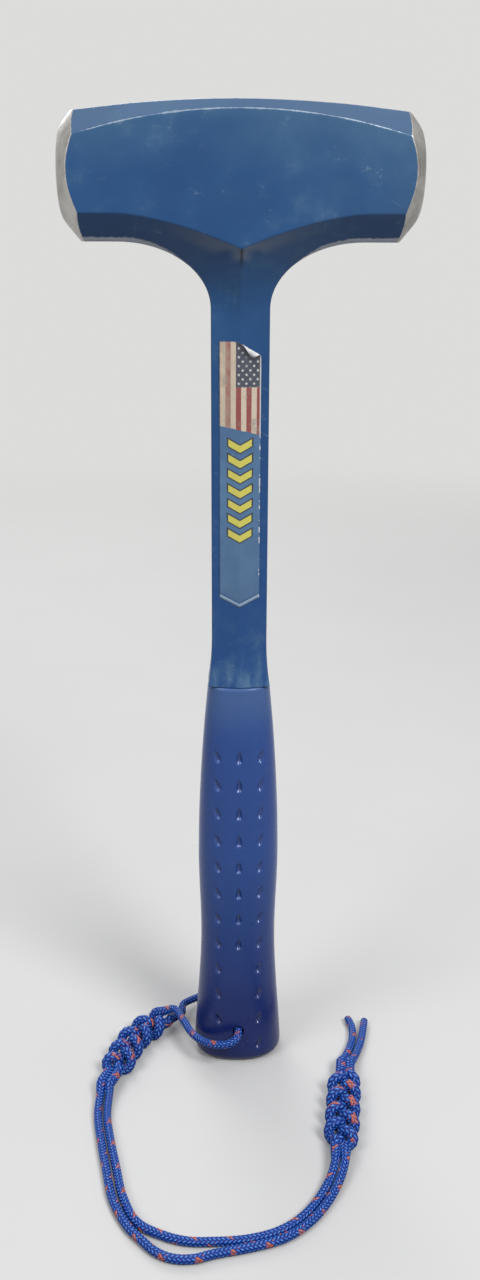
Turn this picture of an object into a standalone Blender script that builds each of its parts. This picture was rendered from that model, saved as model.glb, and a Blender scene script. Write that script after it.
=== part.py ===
"""Long-handled one-hand sledgehammer: a one-piece forging, a moulded grip, a label and a lanyard.

The hammer stands on its butt. +Z runs up the handle, X runs along the head from striking face to
striking face, and -Y is the labelled front. The origin is the middle of the butt. Metres.
"""
import math

import bmesh
import bpy
import numpy as np
from mathutils import Vector

# Shared fit
CLEARANCE = 0.0003

# Head, one forging with the shank
OVERALL_LENGTH = 0.406
HEAD_LENGTH = 0.1354
HEAD_DEPTH = 0.040
HEAD_END_HEIGHT = 0.0445
CROWN_RISE = 0.0036
TOP_CHAMFER_HEIGHT_END = 0.0086
TOP_CHAMFER_HEIGHT_MIDDLE = 0.0034
TOP_CHAMFER_DEPTH_MIDDLE = 0.0036
TOP_CHAMFER_POWER = 1.5
LOWER_CHAMFER_HEIGHT = 0.0098
END_CHAMFER_DEPTH = 0.0090
CHIN_DROP = 0.0120
CHIN_HALF_LENGTH = 0.046
CHIN_POWER = 1.6

# Striking faces, turned about an axis a little above the middle of the head's ends
FACE_AXIS_RISE = 0.0016
FACE_RADIUS = 0.0162
FACE_CROWN_RADIUS = 0.090
BEVEL_LENGTH_PER_RADIUS = 0.85
FACE_EDGE_BLEND = 0.0018

# Sweep from the head's underside into the shank
SWEEP_LENGTH = 0.034
SWEEP_DROP = 0.024
RIDGE_BLEND_DROP = 0.031
CHIN_SWEEP_ANGLE = math.radians(51)

# Shank, collar and tang
SHANK_WIDTH = 0.0226
SHANK_RIDGE_THICKNESS = 0.0150
SHANK_EDGE_THICKNESS = 0.0112
COLLAR_LENGTH = 0.020
COLLAR_WIDTH = 0.0258
COLLAR_RIDGE_THICKNESS = 0.0186
COLLAR_EDGE_THICKNESS = 0.0140
TANG_WIDTH = 0.0190
TANG_THICKNESS = 0.0100
TANG_END_WALL = 0.0080

# Grip: width along the head, depth across it, at five heights
GRIP_LENGTH = 0.181
GRIP_TOP_WIDTH = 0.0260
GRIP_TOP_DEPTH = 0.0196
GRIP_SHOULDER_DROP = 0.021
GRIP_SHOULDER_WIDTH = 0.0298
GRIP_SHOULDER_DEPTH = 0.0232
GRIP_PALM_HEIGHT = 0.102
GRIP_PALM_WIDTH = 0.0350
GRIP_PALM_DEPTH = 0.0282
GRIP_WAIST_HEIGHT = 0.060
GRIP_WAIST_WIDTH = 0.0332
GRIP_WAIST_DEPTH = 0.0270
BUTT_HEIGHT = 0.0060
BUTT_WIDTH = 0.0396
BUTT_DEPTH = 0.0316
BUTT_EDGE_RADIUS = 0.0045
GRIP_SQUARENESS = 2.4

# Shank label
LABEL_WIDTH = 0.0160
LABEL_POINT_LENGTH = 0.0040
LABEL_DROP_BELOW_HEAD = 0.0360
LABEL_RISE_ABOVE_COLLAR = 0.0150
LABEL_THICKNESS = 0.0003

# Lanyard cord, its hole and its two knots
CORD_DIAMETER = 0.0035
CORD_GROUND_GAP = 0.0002
CORD_LIE = CORD_DIAMETER / 2 + CORD_GROUND_GAP
HOLE_CLEARANCE = 0.0007
HOLE_HEIGHT = 0.0170
KNOT_TURNS = 5
KNOT_EASE = 0.14
KNOT_STRAND_GAP = 0.0004
KNOT_SPREAD = 0.0028
KNOT_LOOP_REACH = 0.0025
KNOT_LOOP_RISE = 0.0028
KNOT_CROSSING_LIFT = 0.0016

# Lanyard route, chosen by hand: the knots' axes on the table, then the free stretches
NECK_KNOT_AXIS = ((-0.0330, 0.0125), (-0.0464, 0.0000), (-0.0567, -0.0277))
END_KNOT_AXIS = ((0.0408, -0.0764), (0.0441, -0.0531), (0.0476, -0.0291))
FRONT_LEAD_ROUTE = (
    (0.0, -0.0095, HOLE_HEIGHT), (0.0, -0.0160, HOLE_HEIGHT), (-0.0010, -0.0198, 0.0163),
    (-0.0048, -0.0218, 0.0150), (-0.0108, -0.0203, 0.0138), (-0.0166, -0.0157, 0.0126),
    (-0.0216, -0.0085, 0.0119), (-0.0250, 0.0000, 0.0117),
)
BACK_LEAD_ROUTE = (
    (0.0, 0.0095, HOLE_HEIGHT), (0.0, 0.0160, HOLE_HEIGHT), (-0.0012, 0.0200, 0.0162),
    (-0.0058, 0.0238, 0.0136), (-0.0122, 0.0258, 0.0098), (-0.0190, 0.0253, 0.0068),
    (-0.0258, 0.0212, 0.0058),
)
INNER_STRAND_ROUTE = (
    (-0.0571, -0.0400, 0.0030), (-0.0571, -0.0513, CORD_LIE), (-0.0540, -0.0687, CORD_LIE),
    (-0.0509, -0.0824, CORD_LIE), (-0.0475, -0.0969, CORD_LIE), (-0.0409, -0.1108, CORD_LIE),
    (-0.0312, -0.1172, CORD_LIE), (-0.0220, -0.1203, CORD_LIE), (-0.0126, -0.1208, CORD_LIE),
    (0.0017, -0.1198, CORD_LIE), (0.0136, -0.1160, CORD_LIE), (0.0228, -0.1092, CORD_LIE),
    (0.0302, -0.0995, CORD_LIE), (0.0354, -0.0900, 0.0031),
)
OUTER_STRAND_ROUTE = (
    (-0.0611, -0.0397, 0.0030), (-0.0611, -0.0512, CORD_LIE), (-0.0579, -0.0695, CORD_LIE),
    (-0.0549, -0.0834, CORD_LIE), (-0.0513, -0.0987, CORD_LIE), (-0.0447, -0.1124, CORD_LIE),
    (-0.0388, -0.1195, CORD_LIE), (-0.0331, -0.1252, CORD_LIE), (-0.0267, -0.1283, CORD_LIE),
    (-0.0189, -0.1286, CORD_LIE), (-0.0115, -0.1265, CORD_LIE), (0.0024, -0.1236, CORD_LIE),
    (0.0153, -0.1195, CORD_LIE), (0.0255, -0.1119, CORD_LIE), (0.0334, -0.1016, CORD_LIE),
    (0.0390, -0.0914, 0.0031),
)
LEFT_TAIL_ROUTE = (
    (0.0490, -0.0160, 0.0027), (0.0534, -0.0045, CORD_LIE), (0.0549, 0.0060, CORD_LIE),
    (0.0534, 0.0146, CORD_LIE),
)
RIGHT_TAIL_ROUTE = (
    (0.0531, -0.0167, 0.0027), (0.0576, -0.0046, CORD_LIE), (0.0616, 0.0128, CORD_LIE),
)

# Mesh fineness
SWEEP_ROWS_TO_CHIN = 8
UNDERSIDE_FLAT_ROWS = 3
SWEEP_ROWS_BELOW_CHIN = 5
RIDGE_BLEND_ROWS = 3
COLLAR_ROWS = 4
TOP_COLUMNS = 2
CHAMFER_COLUMNS = 2
FRONT_COLUMNS = 6
LOWER_COLUMNS = 3
SIDE_COLUMNS = 2
GRIP_SIDES = 40
GRIP_RINGS = 22
BUTT_EDGE_RINGS = 4
HOLE_SIDES = 20
FACE_RING_SHARES = (1.12, 1.03, 0.92, 0.5)
POINTS_PER_KNOT_TURN = 12
CORD_POINT_SPACING = 0.008
LEAD_POINT_SPACING = 0.005
LINE_STEPS = 12
FREE_TUBE_STEPS = 2
WOUND_TUBE_STEPS = 1
SHARP_ANGLE = math.radians(24)
MERGE_DISTANCE = 0.000001

# Heights and half sizes that follow from the driving dimensions
HEAD_HALF_DEPTH = HEAD_DEPTH / 2
TOP_HEIGHT_AT_ENDS = OVERALL_LENGTH - CROWN_RISE
UNDERSIDE_HEIGHT = TOP_HEIGHT_AT_ENDS - HEAD_END_HEIGHT
HEAD_AXIS_HEIGHT = UNDERSIDE_HEIGHT + HEAD_END_HEIGHT / 2 + FACE_AXIS_RISE
FRONT_LOWER_EDGE_HEIGHT = UNDERSIDE_HEIGHT + LOWER_CHAMFER_HEIGHT
CHIN_HEIGHT = FRONT_LOWER_EDGE_HEIGHT - CHIN_DROP
SWEEP_END_HEIGHT = UNDERSIDE_HEIGHT - SWEEP_DROP
SHANK_HALF_WIDTH = SHANK_WIDTH / 2
COLLAR_FOOT_HEIGHT = GRIP_LENGTH + CLEARANCE
COLLAR_TOP_HEIGHT = COLLAR_FOOT_HEIGHT + COLLAR_LENGTH
HOLE_RADIUS = CORD_DIAMETER / 2 + HOLE_CLEARANCE
TANG_END_HEIGHT = HOLE_HEIGHT + HOLE_RADIUS + TANG_END_WALL
KNOT_ENTRY_OFFSET = (CORD_DIAMETER + KNOT_STRAND_GAP) / 2
KNOT_AXIS_HEIGHT = KNOT_LOOP_RISE + CORD_LIE


def clear_scene():
    """Remove whatever the file holds."""
    for old in list(bpy.data.objects):
        bpy.data.objects.remove(old, do_unlink=True)


def principled(name, colour, roughness, metallic):
    """One plain material of its own for a sub-part."""
    material = bpy.data.materials.new(name)
    material.use_nodes = True
    shader = material.node_tree.nodes["Principled BSDF"]
    shader.inputs["Base Color"].default_value = (*colour, 1.0)
    shader.inputs["Roughness"].default_value = roughness
    shader.inputs["Metallic"].default_value = metallic
    return material


def place(name, data, material):
    """Put mesh or curve data into the scene as a named object with its material."""
    piece = bpy.data.objects.new(name, data)
    bpy.context.scene.collection.objects.link(piece)
    data.materials.append(material)
    return piece


def mesh_from(name, bm):
    """Turn a bmesh into a mesh with its faces pointing out and its round areas smooth."""
    bmesh.ops.remove_doubles(bm, verts=bm.verts, dist=MERGE_DISTANCE)
    bmesh.ops.recalc_face_normals(bm, faces=bm.faces)
    mesh = bpy.data.meshes.new(name)
    bm.to_mesh(mesh)
    bm.free()
    mesh.shade_smooth()
    mesh.set_sharp_from_angle(angle=SHARP_ANGLE)
    return mesh


def blend(first, last, share):
    """The value a share of the way from first to last."""
    return first + (last - first) * share


def top_height(x):
    """Crowned top of the head."""
    return OVERALL_LENGTH - CROWN_RISE * min(1.0, abs(x) / FLAT_HALF_LENGTH) ** 2


def front_upper_edge_height(x):
    """Upper edge of the flat front face, an arc that nears the top in the middle."""
    share = min(1.0, abs(x) / FLAT_HALF_LENGTH) ** 2
    middle = OVERALL_LENGTH - TOP_CHAMFER_HEIGHT_MIDDLE
    return blend(middle, TOP_HEIGHT_AT_ENDS - TOP_CHAMFER_HEIGHT_END, share)


def front_lower_edge_height(x):
    """Lower edge of the flat front face, level at the ends and dipping to a point at the middle."""
    dip = max(0.0, 1.0 - abs(x) / CHIN_HALF_LENGTH) ** CHIN_POWER
    return FRONT_LOWER_EDGE_HEIGHT - CHIN_DROP * dip


def top_half_depth(x):
    """Half depth of the flat top between the two upper chamfers."""
    share = min(1.0, abs(x) / FLAT_HALF_LENGTH) ** TOP_CHAMFER_POWER
    return HEAD_HALF_DEPTH - blend(TOP_CHAMFER_DEPTH_MIDDLE, END_CHAMFER_DEPTH, share)


def crown_x(radius):
    """Distance of the crowned striking face from the middle of the head."""
    return HEAD_LENGTH / 2 - radius ** 2 / (2 * FACE_CROWN_RADIUS)


def bevel_x(radius):
    """Distance of the turned bevel round the striking face."""
    return crown_x(FACE_RADIUS) - (radius - FACE_RADIUS) * BEVEL_LENGTH_PER_RADIUS


def striking_end_x(radius):
    """Turned end of the head: crowned face and bevel with a rounded edge between them."""
    crown = crown_x(radius)
    bevel = bevel_x(radius)
    overlap = max(FACE_EDGE_BLEND - abs(crown - bevel), 0.0)
    return min(crown, bevel) - overlap ** 2 / (4 * FACE_EDGE_BLEND)


UPPER_CORNER_RISE = TOP_HEIGHT_AT_ENDS - TOP_CHAMFER_HEIGHT_END - HEAD_AXIS_HEIGHT
FLAT_HALF_LENGTH = bevel_x(math.hypot(HEAD_HALF_DEPTH, UPPER_CORNER_RISE))
SWEEP_START_X = SHANK_HALF_WIDTH + SWEEP_LENGTH


def sweep_point(angle):
    """Outline of the underside's quarter-ellipse sweep; angle 0 is at the head, 90 at the shank."""
    x = SWEEP_START_X - SWEEP_LENGTH * math.sin(angle)
    z = SWEEP_END_HEIGHT + SWEEP_DROP * math.cos(angle)
    return x, z


def edge_half_thickness(angle):
    """Half thickness at the outline's edge along the sweep."""
    share = math.sin(angle) ** 2
    return blend(HEAD_HALF_DEPTH - END_CHAMFER_DEPTH, SHANK_EDGE_THICKNESS / 2, share)


def ridge_half_thickness(z):
    """Half thickness at the ridge below the chin point, hollowing down to the shank's."""
    share = max(0.0, 1.0 - (CHIN_HEIGHT - z) / RIDGE_BLEND_DROP) ** 2
    return blend(SHANK_RIDGE_THICKNESS / 2, HEAD_HALF_DEPTH, share)


def columns_between(first, last, count):
    """Points from first to last, both included."""
    return [Vector(first).lerp(Vector(last), i / count) for i in range(count + 1)]


def head_rows():
    """Rows of the quarter head from its striking end to its middle, top centre to underside centre.

    Each row has the top, upper chamfer, front face, lower chamfer and underside, in that order.
    """
    count = UNDERSIDE_FLAT_ROWS + SWEEP_ROWS_TO_CHIN
    rows = []
    for i in range(count + 1):
        share = i / count
        x = FLAT_HALF_LENGTH * (1.0 - share)
        if i <= UNDERSIDE_FLAT_ROWS:
            edge_x = blend(FLAT_HALF_LENGTH, SWEEP_START_X, i / UNDERSIDE_FLAT_ROWS)
            edge_z = UNDERSIDE_HEIGHT
            angle = 0.0
        else:
            angle = CHIN_SWEEP_ANGLE * (i - UNDERSIDE_FLAT_ROWS) / SWEEP_ROWS_TO_CHIN
            edge_x, edge_z = sweep_point(angle)
        top = top_height(x)
        top_middle = (x, 0.0, top)
        top_edge = (x, -top_half_depth(x), top)
        upper_edge = (x, -HEAD_HALF_DEPTH, front_upper_edge_height(x))
        lower_edge = (x, -HEAD_HALF_DEPTH, front_lower_edge_height(x))
        edge = (edge_x, -edge_half_thickness(angle), edge_z)
        underside_middle = (edge_x, 0.0, edge_z)
        row = columns_between(top_middle, top_edge, TOP_COLUMNS)
        row += columns_between(top_edge, upper_edge, CHAMFER_COLUMNS)[1:]
        row += columns_between(upper_edge, lower_edge, FRONT_COLUMNS)[1:]
        row += columns_between(lower_edge, edge, LOWER_COLUMNS)[1:]
        row += columns_between(edge, underside_middle, SIDE_COLUMNS)[1:]
        rows.append(row)
    stretch_to_turned_end(rows)
    return rows


def stretch_to_turned_end(rows):
    """Carry each row's points out so that the first row lies on the turned bevel."""
    reach = []
    for point in rows[0]:
        radius = math.hypot(point.y, point.z - HEAD_AXIS_HEIGHT)
        reach.append(bevel_x(radius) - point.x)
    for i, row in enumerate(rows):
        share = max(0.0, 1.0 - i / UNDERSIDE_FLAT_ROWS)
        for point, extra in zip(row, reach):
            point.x += extra * share


def striking_end_rows(rim):
    """Rings of the turned end, from the octagonal rim in to the face's middle."""
    rings = [rim]
    for radius in (FACE_RADIUS * share for share in FACE_RING_SHARES):
        ring = []
        for point in rim:
            outward = Vector((0.0, point.y, point.z - HEAD_AXIS_HEIGHT)).normalized() * radius
            ring.append(Vector((striking_end_x(radius), outward.y, HEAD_AXIS_HEIGHT + outward.z)))
        rings.append(ring)
    rings.append([Vector((HEAD_LENGTH / 2, 0.0, HEAD_AXIS_HEIGHT))] * len(rim))
    return rings


def handle_row(ridge_z, ridge_half, edge_x, edge_half, edge_z):
    """One row of the handle: from the front ridge to the edge, then round to the side's middle."""
    ridge = (0.0, -ridge_half, ridge_z)
    edge = (edge_x, -edge_half, edge_z)
    row = columns_between(ridge, edge, LOWER_COLUMNS)
    return row + columns_between(edge, (edge_x, 0.0, edge_z), SIDE_COLUMNS)[1:]


def handle_rows():
    """Rows of the quarter handle from the chin point down the sweep, shank, collar and tang."""
    rows = []
    for i in range(SWEEP_ROWS_BELOW_CHIN + 1):
        share = i / SWEEP_ROWS_BELOW_CHIN
        angle = blend(CHIN_SWEEP_ANGLE, math.pi / 2, share)
        edge_x, edge_z = sweep_point(angle)
        ridge_z = blend(CHIN_HEIGHT, SWEEP_END_HEIGHT, share)
        rows.append(handle_row(ridge_z, ridge_half_thickness(ridge_z), edge_x,
                               edge_half_thickness(angle), edge_z))
    blend_end = min(SWEEP_END_HEIGHT - CLEARANCE, CHIN_HEIGHT - RIDGE_BLEND_DROP)
    for i in range(1, RIDGE_BLEND_ROWS + 1):
        z = blend(SWEEP_END_HEIGHT, blend_end, i / RIDGE_BLEND_ROWS)
        rows.append(handle_row(z, ridge_half_thickness(z), SHANK_HALF_WIDTH,
                               SHANK_EDGE_THICKNESS / 2, z))
    for i in range(COLLAR_ROWS + 1):
        share = (i / COLLAR_ROWS) ** 2
        z = blend(COLLAR_TOP_HEIGHT, COLLAR_FOOT_HEIGHT, i / COLLAR_ROWS)
        ridge_half = blend(SHANK_RIDGE_THICKNESS, COLLAR_RIDGE_THICKNESS, share) / 2
        edge_half = blend(SHANK_EDGE_THICKNESS, COLLAR_EDGE_THICKNESS, share) / 2
        rows.append(handle_row(z, ridge_half, blend(SHANK_WIDTH, COLLAR_WIDTH, share) / 2, edge_half, z))
    for z in (COLLAR_FOOT_HEIGHT, TANG_END_HEIGHT):
        rows.append(handle_row(z, TANG_THICKNESS / 2, TANG_WIDTH / 2, TANG_THICKNESS / 2, z))
    rows.append([Vector((0.0, 0.0, TANG_END_HEIGHT))] * len(rows[-1]))
    return rows


def add_mirrored_rows(bm, rows):
    """Skin a quarter grid of points, mirrored to the other end and to the back."""
    for side_x in (1, -1):
        for side_y in (1, -1):
            corners = [[bm.verts.new((p.x * side_x, p.y * side_y, p.z)) for p in row] for row in rows]
            for near, far in zip(corners, corners[1:]):
                for i in range(len(near) - 1):
                    add_face(bm, (near[i], near[i + 1], far[i + 1], far[i]))


def add_face(bm, corners):
    """Add a face, leaving out corners that fall on each other."""
    kept = []
    for corner in corners:
        if all((corner.co - other.co).length > MERGE_DISTANCE / 2 for other in kept):
            kept.append(corner)
    if len(kept) > 2:
        bm.faces.new(kept)


def forged_head_and_shank():
    """Head, shank, collar and tang as one steel forging."""
    bm = bmesh.new()
    head = head_rows()
    add_mirrored_rows(bm, head)
    add_mirrored_rows(bm, striking_end_rows(head[0]))
    add_mirrored_rows(bm, handle_rows())
    name = "forged_head_and_shank"
    material = principled("blue_painted_steel", (0.030, 0.105, 0.290), 0.35, 0.0)
    return place(name, mesh_from(name, bm), material)


def grip_stations():
    """Heights with the grip's half width and half depth, from the butt up."""
    return (
        (BUTT_HEIGHT, BUTT_WIDTH / 2, BUTT_DEPTH / 2),
        (GRIP_WAIST_HEIGHT, GRIP_WAIST_WIDTH / 2, GRIP_WAIST_DEPTH / 2),
        (GRIP_PALM_HEIGHT, GRIP_PALM_WIDTH / 2, GRIP_PALM_DEPTH / 2),
        (GRIP_LENGTH - GRIP_SHOULDER_DROP, GRIP_SHOULDER_WIDTH / 2, GRIP_SHOULDER_DEPTH / 2),
        (GRIP_LENGTH, GRIP_TOP_WIDTH / 2, GRIP_TOP_DEPTH / 2),
    )


def smooth_value(heights, values, z):
    """Smooth curve through values at rising heights."""
    slopes = np.gradient(values, heights)
    i = int(np.clip(np.searchsorted(heights, z) - 1, 0, len(heights) - 2))
    span = heights[i + 1] - heights[i]
    t = min(max((z - heights[i]) / span, 0.0), 1.0)
    first = (2 * t ** 3 - 3 * t ** 2 + 1) * values[i] + (t ** 3 - 2 * t ** 2 + t) * span * slopes[i]
    last = (3 * t ** 2 - 2 * t ** 3) * values[i + 1] + (t ** 3 - t ** 2) * span * slopes[i + 1]
    return first + last


def grip_ring(half_width, half_depth, z):
    """One rounded, slightly squared oval of the grip."""
    ring = []
    for i in range(GRIP_SIDES):
        angle = 2 * math.pi * i / GRIP_SIDES
        c = math.cos(angle)
        s = math.sin(angle)
        reach = (abs(c) ** GRIP_SQUARENESS + abs(s) ** GRIP_SQUARENESS) ** (-1 / GRIP_SQUARENESS)
        ring.append(Vector((half_width * reach * c, half_depth * reach * s, z)))
    return ring


def grip_rings():
    """Rings of the grip from the flat of the butt, round its edge and up to the top."""
    heights, widths, depths = (np.array(column) for column in zip(*grip_stations()))
    rings = []
    for i in range(BUTT_EDGE_RINGS):
        angle = math.pi / 2 * i / BUTT_EDGE_RINGS
        inset = BUTT_EDGE_RADIUS * (1 - math.sin(angle))
        z = BUTT_EDGE_RADIUS * (1 - math.cos(angle))
        rings.append(grip_ring(BUTT_WIDTH / 2 - inset, BUTT_DEPTH / 2 - inset, z))
    for i in range(GRIP_RINGS + 1):
        z = blend(BUTT_HEIGHT, GRIP_LENGTH, i / GRIP_RINGS)
        rings.append(grip_ring(smooth_value(heights, widths, z), smooth_value(heights, depths, z), z))
    return rings


def cutter(name, mesh):
    """A hidden cutting body."""
    tool = bpy.data.objects.new(name, mesh)
    bpy.context.scene.collection.objects.link(tool)
    tool.hide_render = True
    tool.display_type = "WIRE"
    return tool


def tang_cutter():
    """The tang with its clearance, open past the grip's top."""
    bm = bmesh.new()
    bmesh.ops.create_cube(bm, size=1.0)
    foot = TANG_END_HEIGHT - CLEARANCE
    height = COLLAR_TOP_HEIGHT - foot
    size = (TANG_WIDTH + 2 * CLEARANCE, TANG_THICKNESS + 2 * CLEARANCE, height)
    bmesh.ops.scale(bm, vec=size, verts=bm.verts)
    bmesh.ops.translate(bm, vec=(0.0, 0.0, foot + height / 2), verts=bm.verts)
    return cutter("tang_socket_cutter", mesh_from("tang_socket_cutter", bm))


def hole_cutter():
    """The lanyard hole, front to back through the butt."""
    bm = bmesh.new()
    bmesh.ops.create_cone(bm, cap_ends=True, segments=HOLE_SIDES, radius1=HOLE_RADIUS,
                          radius2=HOLE_RADIUS, depth=2 * BUTT_DEPTH)
    tool = cutter("lanyard_hole_cutter", mesh_from("lanyard_hole_cutter", bm))
    tool.rotation_euler = (math.pi / 2, 0.0, 0.0)
    tool.location = (0.0, 0.0, HOLE_HEIGHT)
    return tool


def moulded_grip():
    """Vinyl sleeve over the tang, with its socket and its lanyard hole."""
    bm = bmesh.new()
    rings = [[bm.verts.new(point) for point in ring] for ring in grip_rings()]
    for low, high in zip(rings, rings[1:]):
        for i in range(GRIP_SIDES):
            j = (i + 1) % GRIP_SIDES
            bm.faces.new((low[i], low[j], high[j], high[i]))
    bm.faces.new(list(reversed(rings[0])))
    bm.faces.new(rings[-1])
    name = "grip"
    grip = place(name, mesh_from(name, bm), principled("blue_vinyl", (0.035, 0.050, 0.230), 0.45, 0.0))
    for tool in (tang_cutter(), hole_cutter()):
        cut = grip.modifiers.new(tool.name, "BOOLEAN")
        cut.operation = "DIFFERENCE"
        cut.solver = "EXACT"
        cut.object = tool
    return grip


def shank_front_y(x):
    """Depth of the shank's ridged front."""
    share = abs(x) / SHANK_HALF_WIDTH
    return -blend(SHANK_RIDGE_THICKNESS, SHANK_EDGE_THICKNESS, share) / 2


def shank_label():
    """Thin printed film on the ridged front of the shank, with a pointed lower end."""
    top = UNDERSIDE_HEIGHT - LABEL_DROP_BELOW_HEAD
    tip = COLLAR_TOP_HEIGHT + LABEL_RISE_ABOVE_COLLAR
    half = LABEL_WIDTH / 2
    outline = [(-half, top), (0.0, top), (half, top), (half, tip + LABEL_POINT_LENGTH), (0.0, tip),
               (-half, tip + LABEL_POINT_LENGTH)]
    bm = bmesh.new()
    back = [bm.verts.new((x, shank_front_y(x) - CLEARANCE, z)) for x, z in outline]
    front = [bm.verts.new((v.co.x, v.co.y - LABEL_THICKNESS, v.co.z)) for v in back]
    for layer in (back, front):
        bm.faces.new((layer[0], layer[1], layer[4], layer[5]))
        bm.faces.new((layer[1], layer[2], layer[3], layer[4]))
    for i in range(len(outline)):
        j = (i + 1) % len(outline)
        bm.faces.new((back[i], back[j], front[j], front[i]))
    name = "shank_label"
    return place(name, mesh_from(name, bm), principled("label_film", (0.09, 0.17, 0.30), 0.30, 0.0))


def smooth_line(points):
    """A dense smooth line through the given points, and the place of each point along it."""
    points = [np.array(p, dtype=float) for p in points]
    padded = [2 * points[0] - points[1], *points, 2 * points[-1] - points[-2]]
    dense = []
    for a, b, c, d in zip(padded, padded[1:], padded[2:], padded[3:]):
        knots = np.cumsum([0.0] + [math.sqrt(np.linalg.norm(q - p)) for p, q in ((a, b), (b, c), (c, d))])
        for t in np.linspace(knots[1], knots[2], LINE_STEPS, endpoint=False):
            ab = (a * (knots[1] - t) + b * (t - knots[0])) / (knots[1] - knots[0])
            bc = (b * (knots[2] - t) + c * (t - knots[1])) / (knots[2] - knots[1])
            cd = (c * (knots[3] - t) + d * (t - knots[2])) / (knots[3] - knots[2])
            abc = (ab * (knots[2] - t) + bc * (t - knots[0])) / (knots[2] - knots[0])
            bcd = (bc * (knots[3] - t) + cd * (t - knots[1])) / (knots[3] - knots[1])
            dense.append((abc * (knots[2] - t) + bcd * (t - knots[1])) / (knots[2] - knots[1]))
    dense.append(points[-1])
    line = np.array(dense)
    travel = np.concatenate([[0.0], np.cumsum(np.linalg.norm(np.diff(line, axis=0), axis=1))])
    return line, travel, travel[::LINE_STEPS]


def knot_frame(axis):
    """A function that gives the point, heading and side direction along a knot's axis."""
    line, travel, _ = smooth_line([(x, y, KNOT_AXIS_HEIGHT) for x, y in axis])
    headings = np.gradient(line, travel, axis=0)

    def at(distance):
        inside = min(max(distance, 0.0), travel[-1])
        point = np.array([np.interp(inside, travel, line[:, i]) for i in range(3)])
        heading = np.array([np.interp(inside, travel, headings[:, i]) for i in range(3)])
        heading /= np.linalg.norm(heading)
        point = point + heading * (distance - inside)
        return point, heading, np.array((-heading[1], heading[0], 0.0))

    return at, travel[-1]


def knot_turns(axis, side, over, start_turn=0.0):
    """Turns of one strand in a knot, with straight ends two cord diameters long.

    The two strands loop to their own sides, side 1 or -1, half a turn apart, and mesh in the middle.
    over is 1 where the loops go outward across the top and -1 where they come inward across it.
    start_turn leaves out the part of the first turn that a strand coming in across the top skips.
    """
    at, length = knot_frame(axis)
    half_turn = 0.0 if side > 0 else 0.5

    def loop(turn):
        share = turn / KNOT_TURNS
        from_end = 1.0 - share if start_turn else min(share, 1.0 - share)
        opening = 0.5 - 0.5 * math.cos(math.pi * min(1.0, from_end / KNOT_EASE))
        angle = 2 * math.pi * (turn + half_turn)
        spread = blend(KNOT_ENTRY_OFFSET, KNOT_SPREAD, opening)
        sideways = side * (spread + KNOT_LOOP_REACH * opening * math.cos(angle))
        height = -over * KNOT_LOOP_RISE * opening * math.sin(angle)
        point, _, across = at(share * length)
        return point + across * sideways + np.array((0.0, 0.0, height))

    first = round(start_turn * POINTS_PER_KNOT_TURN)
    points = [loop(i / POINTS_PER_KNOT_TURN) for i in range(first, KNOT_TURNS * POINTS_PER_KNOT_TURN + 1)]
    entry = at(0.0)[1]
    if start_turn:
        entry = points[1] - loop((first - 1) / POINTS_PER_KNOT_TURN)
        entry /= np.linalg.norm(entry)
        entry[2] -= KNOT_CROSSING_LIFT / CORD_DIAMETER
    leave = at(length)[1]
    run_in = [points[0] - entry * CORD_DIAMETER * k for k in (2, 1)]
    run_out = [points[-1] + leave * CORD_DIAMETER * k for k in (1, 2)]
    return run_in + points + run_out


def cord_pieces(bore_start, lead, neck_turns, strand, end_turns, tail):
    """Route of one half of the lanyard and the places of the joins between its five stretches."""
    stretches = [[bore_start, *lead], neck_turns, list(strand), end_turns, list(tail)]
    line, travel, places = smooth_line([point for stretch in stretches for point in stretch])
    starts = np.cumsum([0] + [len(stretch) for stretch in stretches])
    joins = [places[i] for i in (starts[1] + 1, starts[2] - 2, starts[3] + 1, starts[4] - 2)]
    return line, travel, [0.0, *joins, travel[-1]]


def cord_tube(name, line, travel, start, end, spacing, round_steps, material):
    """A round tube of cord along part of a line, with closed ends."""
    count = max(2, round((end - start - 2 * CORD_DIAMETER) / spacing))
    inner = np.linspace(start + CORD_DIAMETER, end - CORD_DIAMETER, count + 1)
    places = [start, *inner, end]
    points = np.stack([np.interp(places, travel, line[:, i]) for i in range(3)], axis=1)
    curve = bpy.data.curves.new(name, "CURVE")
    curve.dimensions = "3D"
    curve.bevel_depth = CORD_DIAMETER / 2
    curve.bevel_resolution = round_steps
    curve.use_fill_caps = True
    spline = curve.splines.new("POLY")
    spline.points.add(len(points) - 1)
    for slot, point in zip(spline.points, points):
        slot.co = (*point, 1.0)
    place(name, curve, material)
    return points


def least_gap(points, other=None, apart=CORD_DIAMETER * 2):
    """Least clear space between a tube and itself, or between two tubes, measured on their points."""
    if other is None:
        travel = np.concatenate([[0.0], np.cumsum(np.linalg.norm(np.diff(points, axis=0), axis=1))])
        far = np.abs(travel[:, None] - travel[None, :]) > apart
        other = points
    else:
        far = np.ones((len(points), len(other)), dtype=bool)
    distance = np.linalg.norm(points[:, None, :] - other[None, :, :], axis=2)
    return float(distance[far].min()) - CORD_DIAMETER


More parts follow.
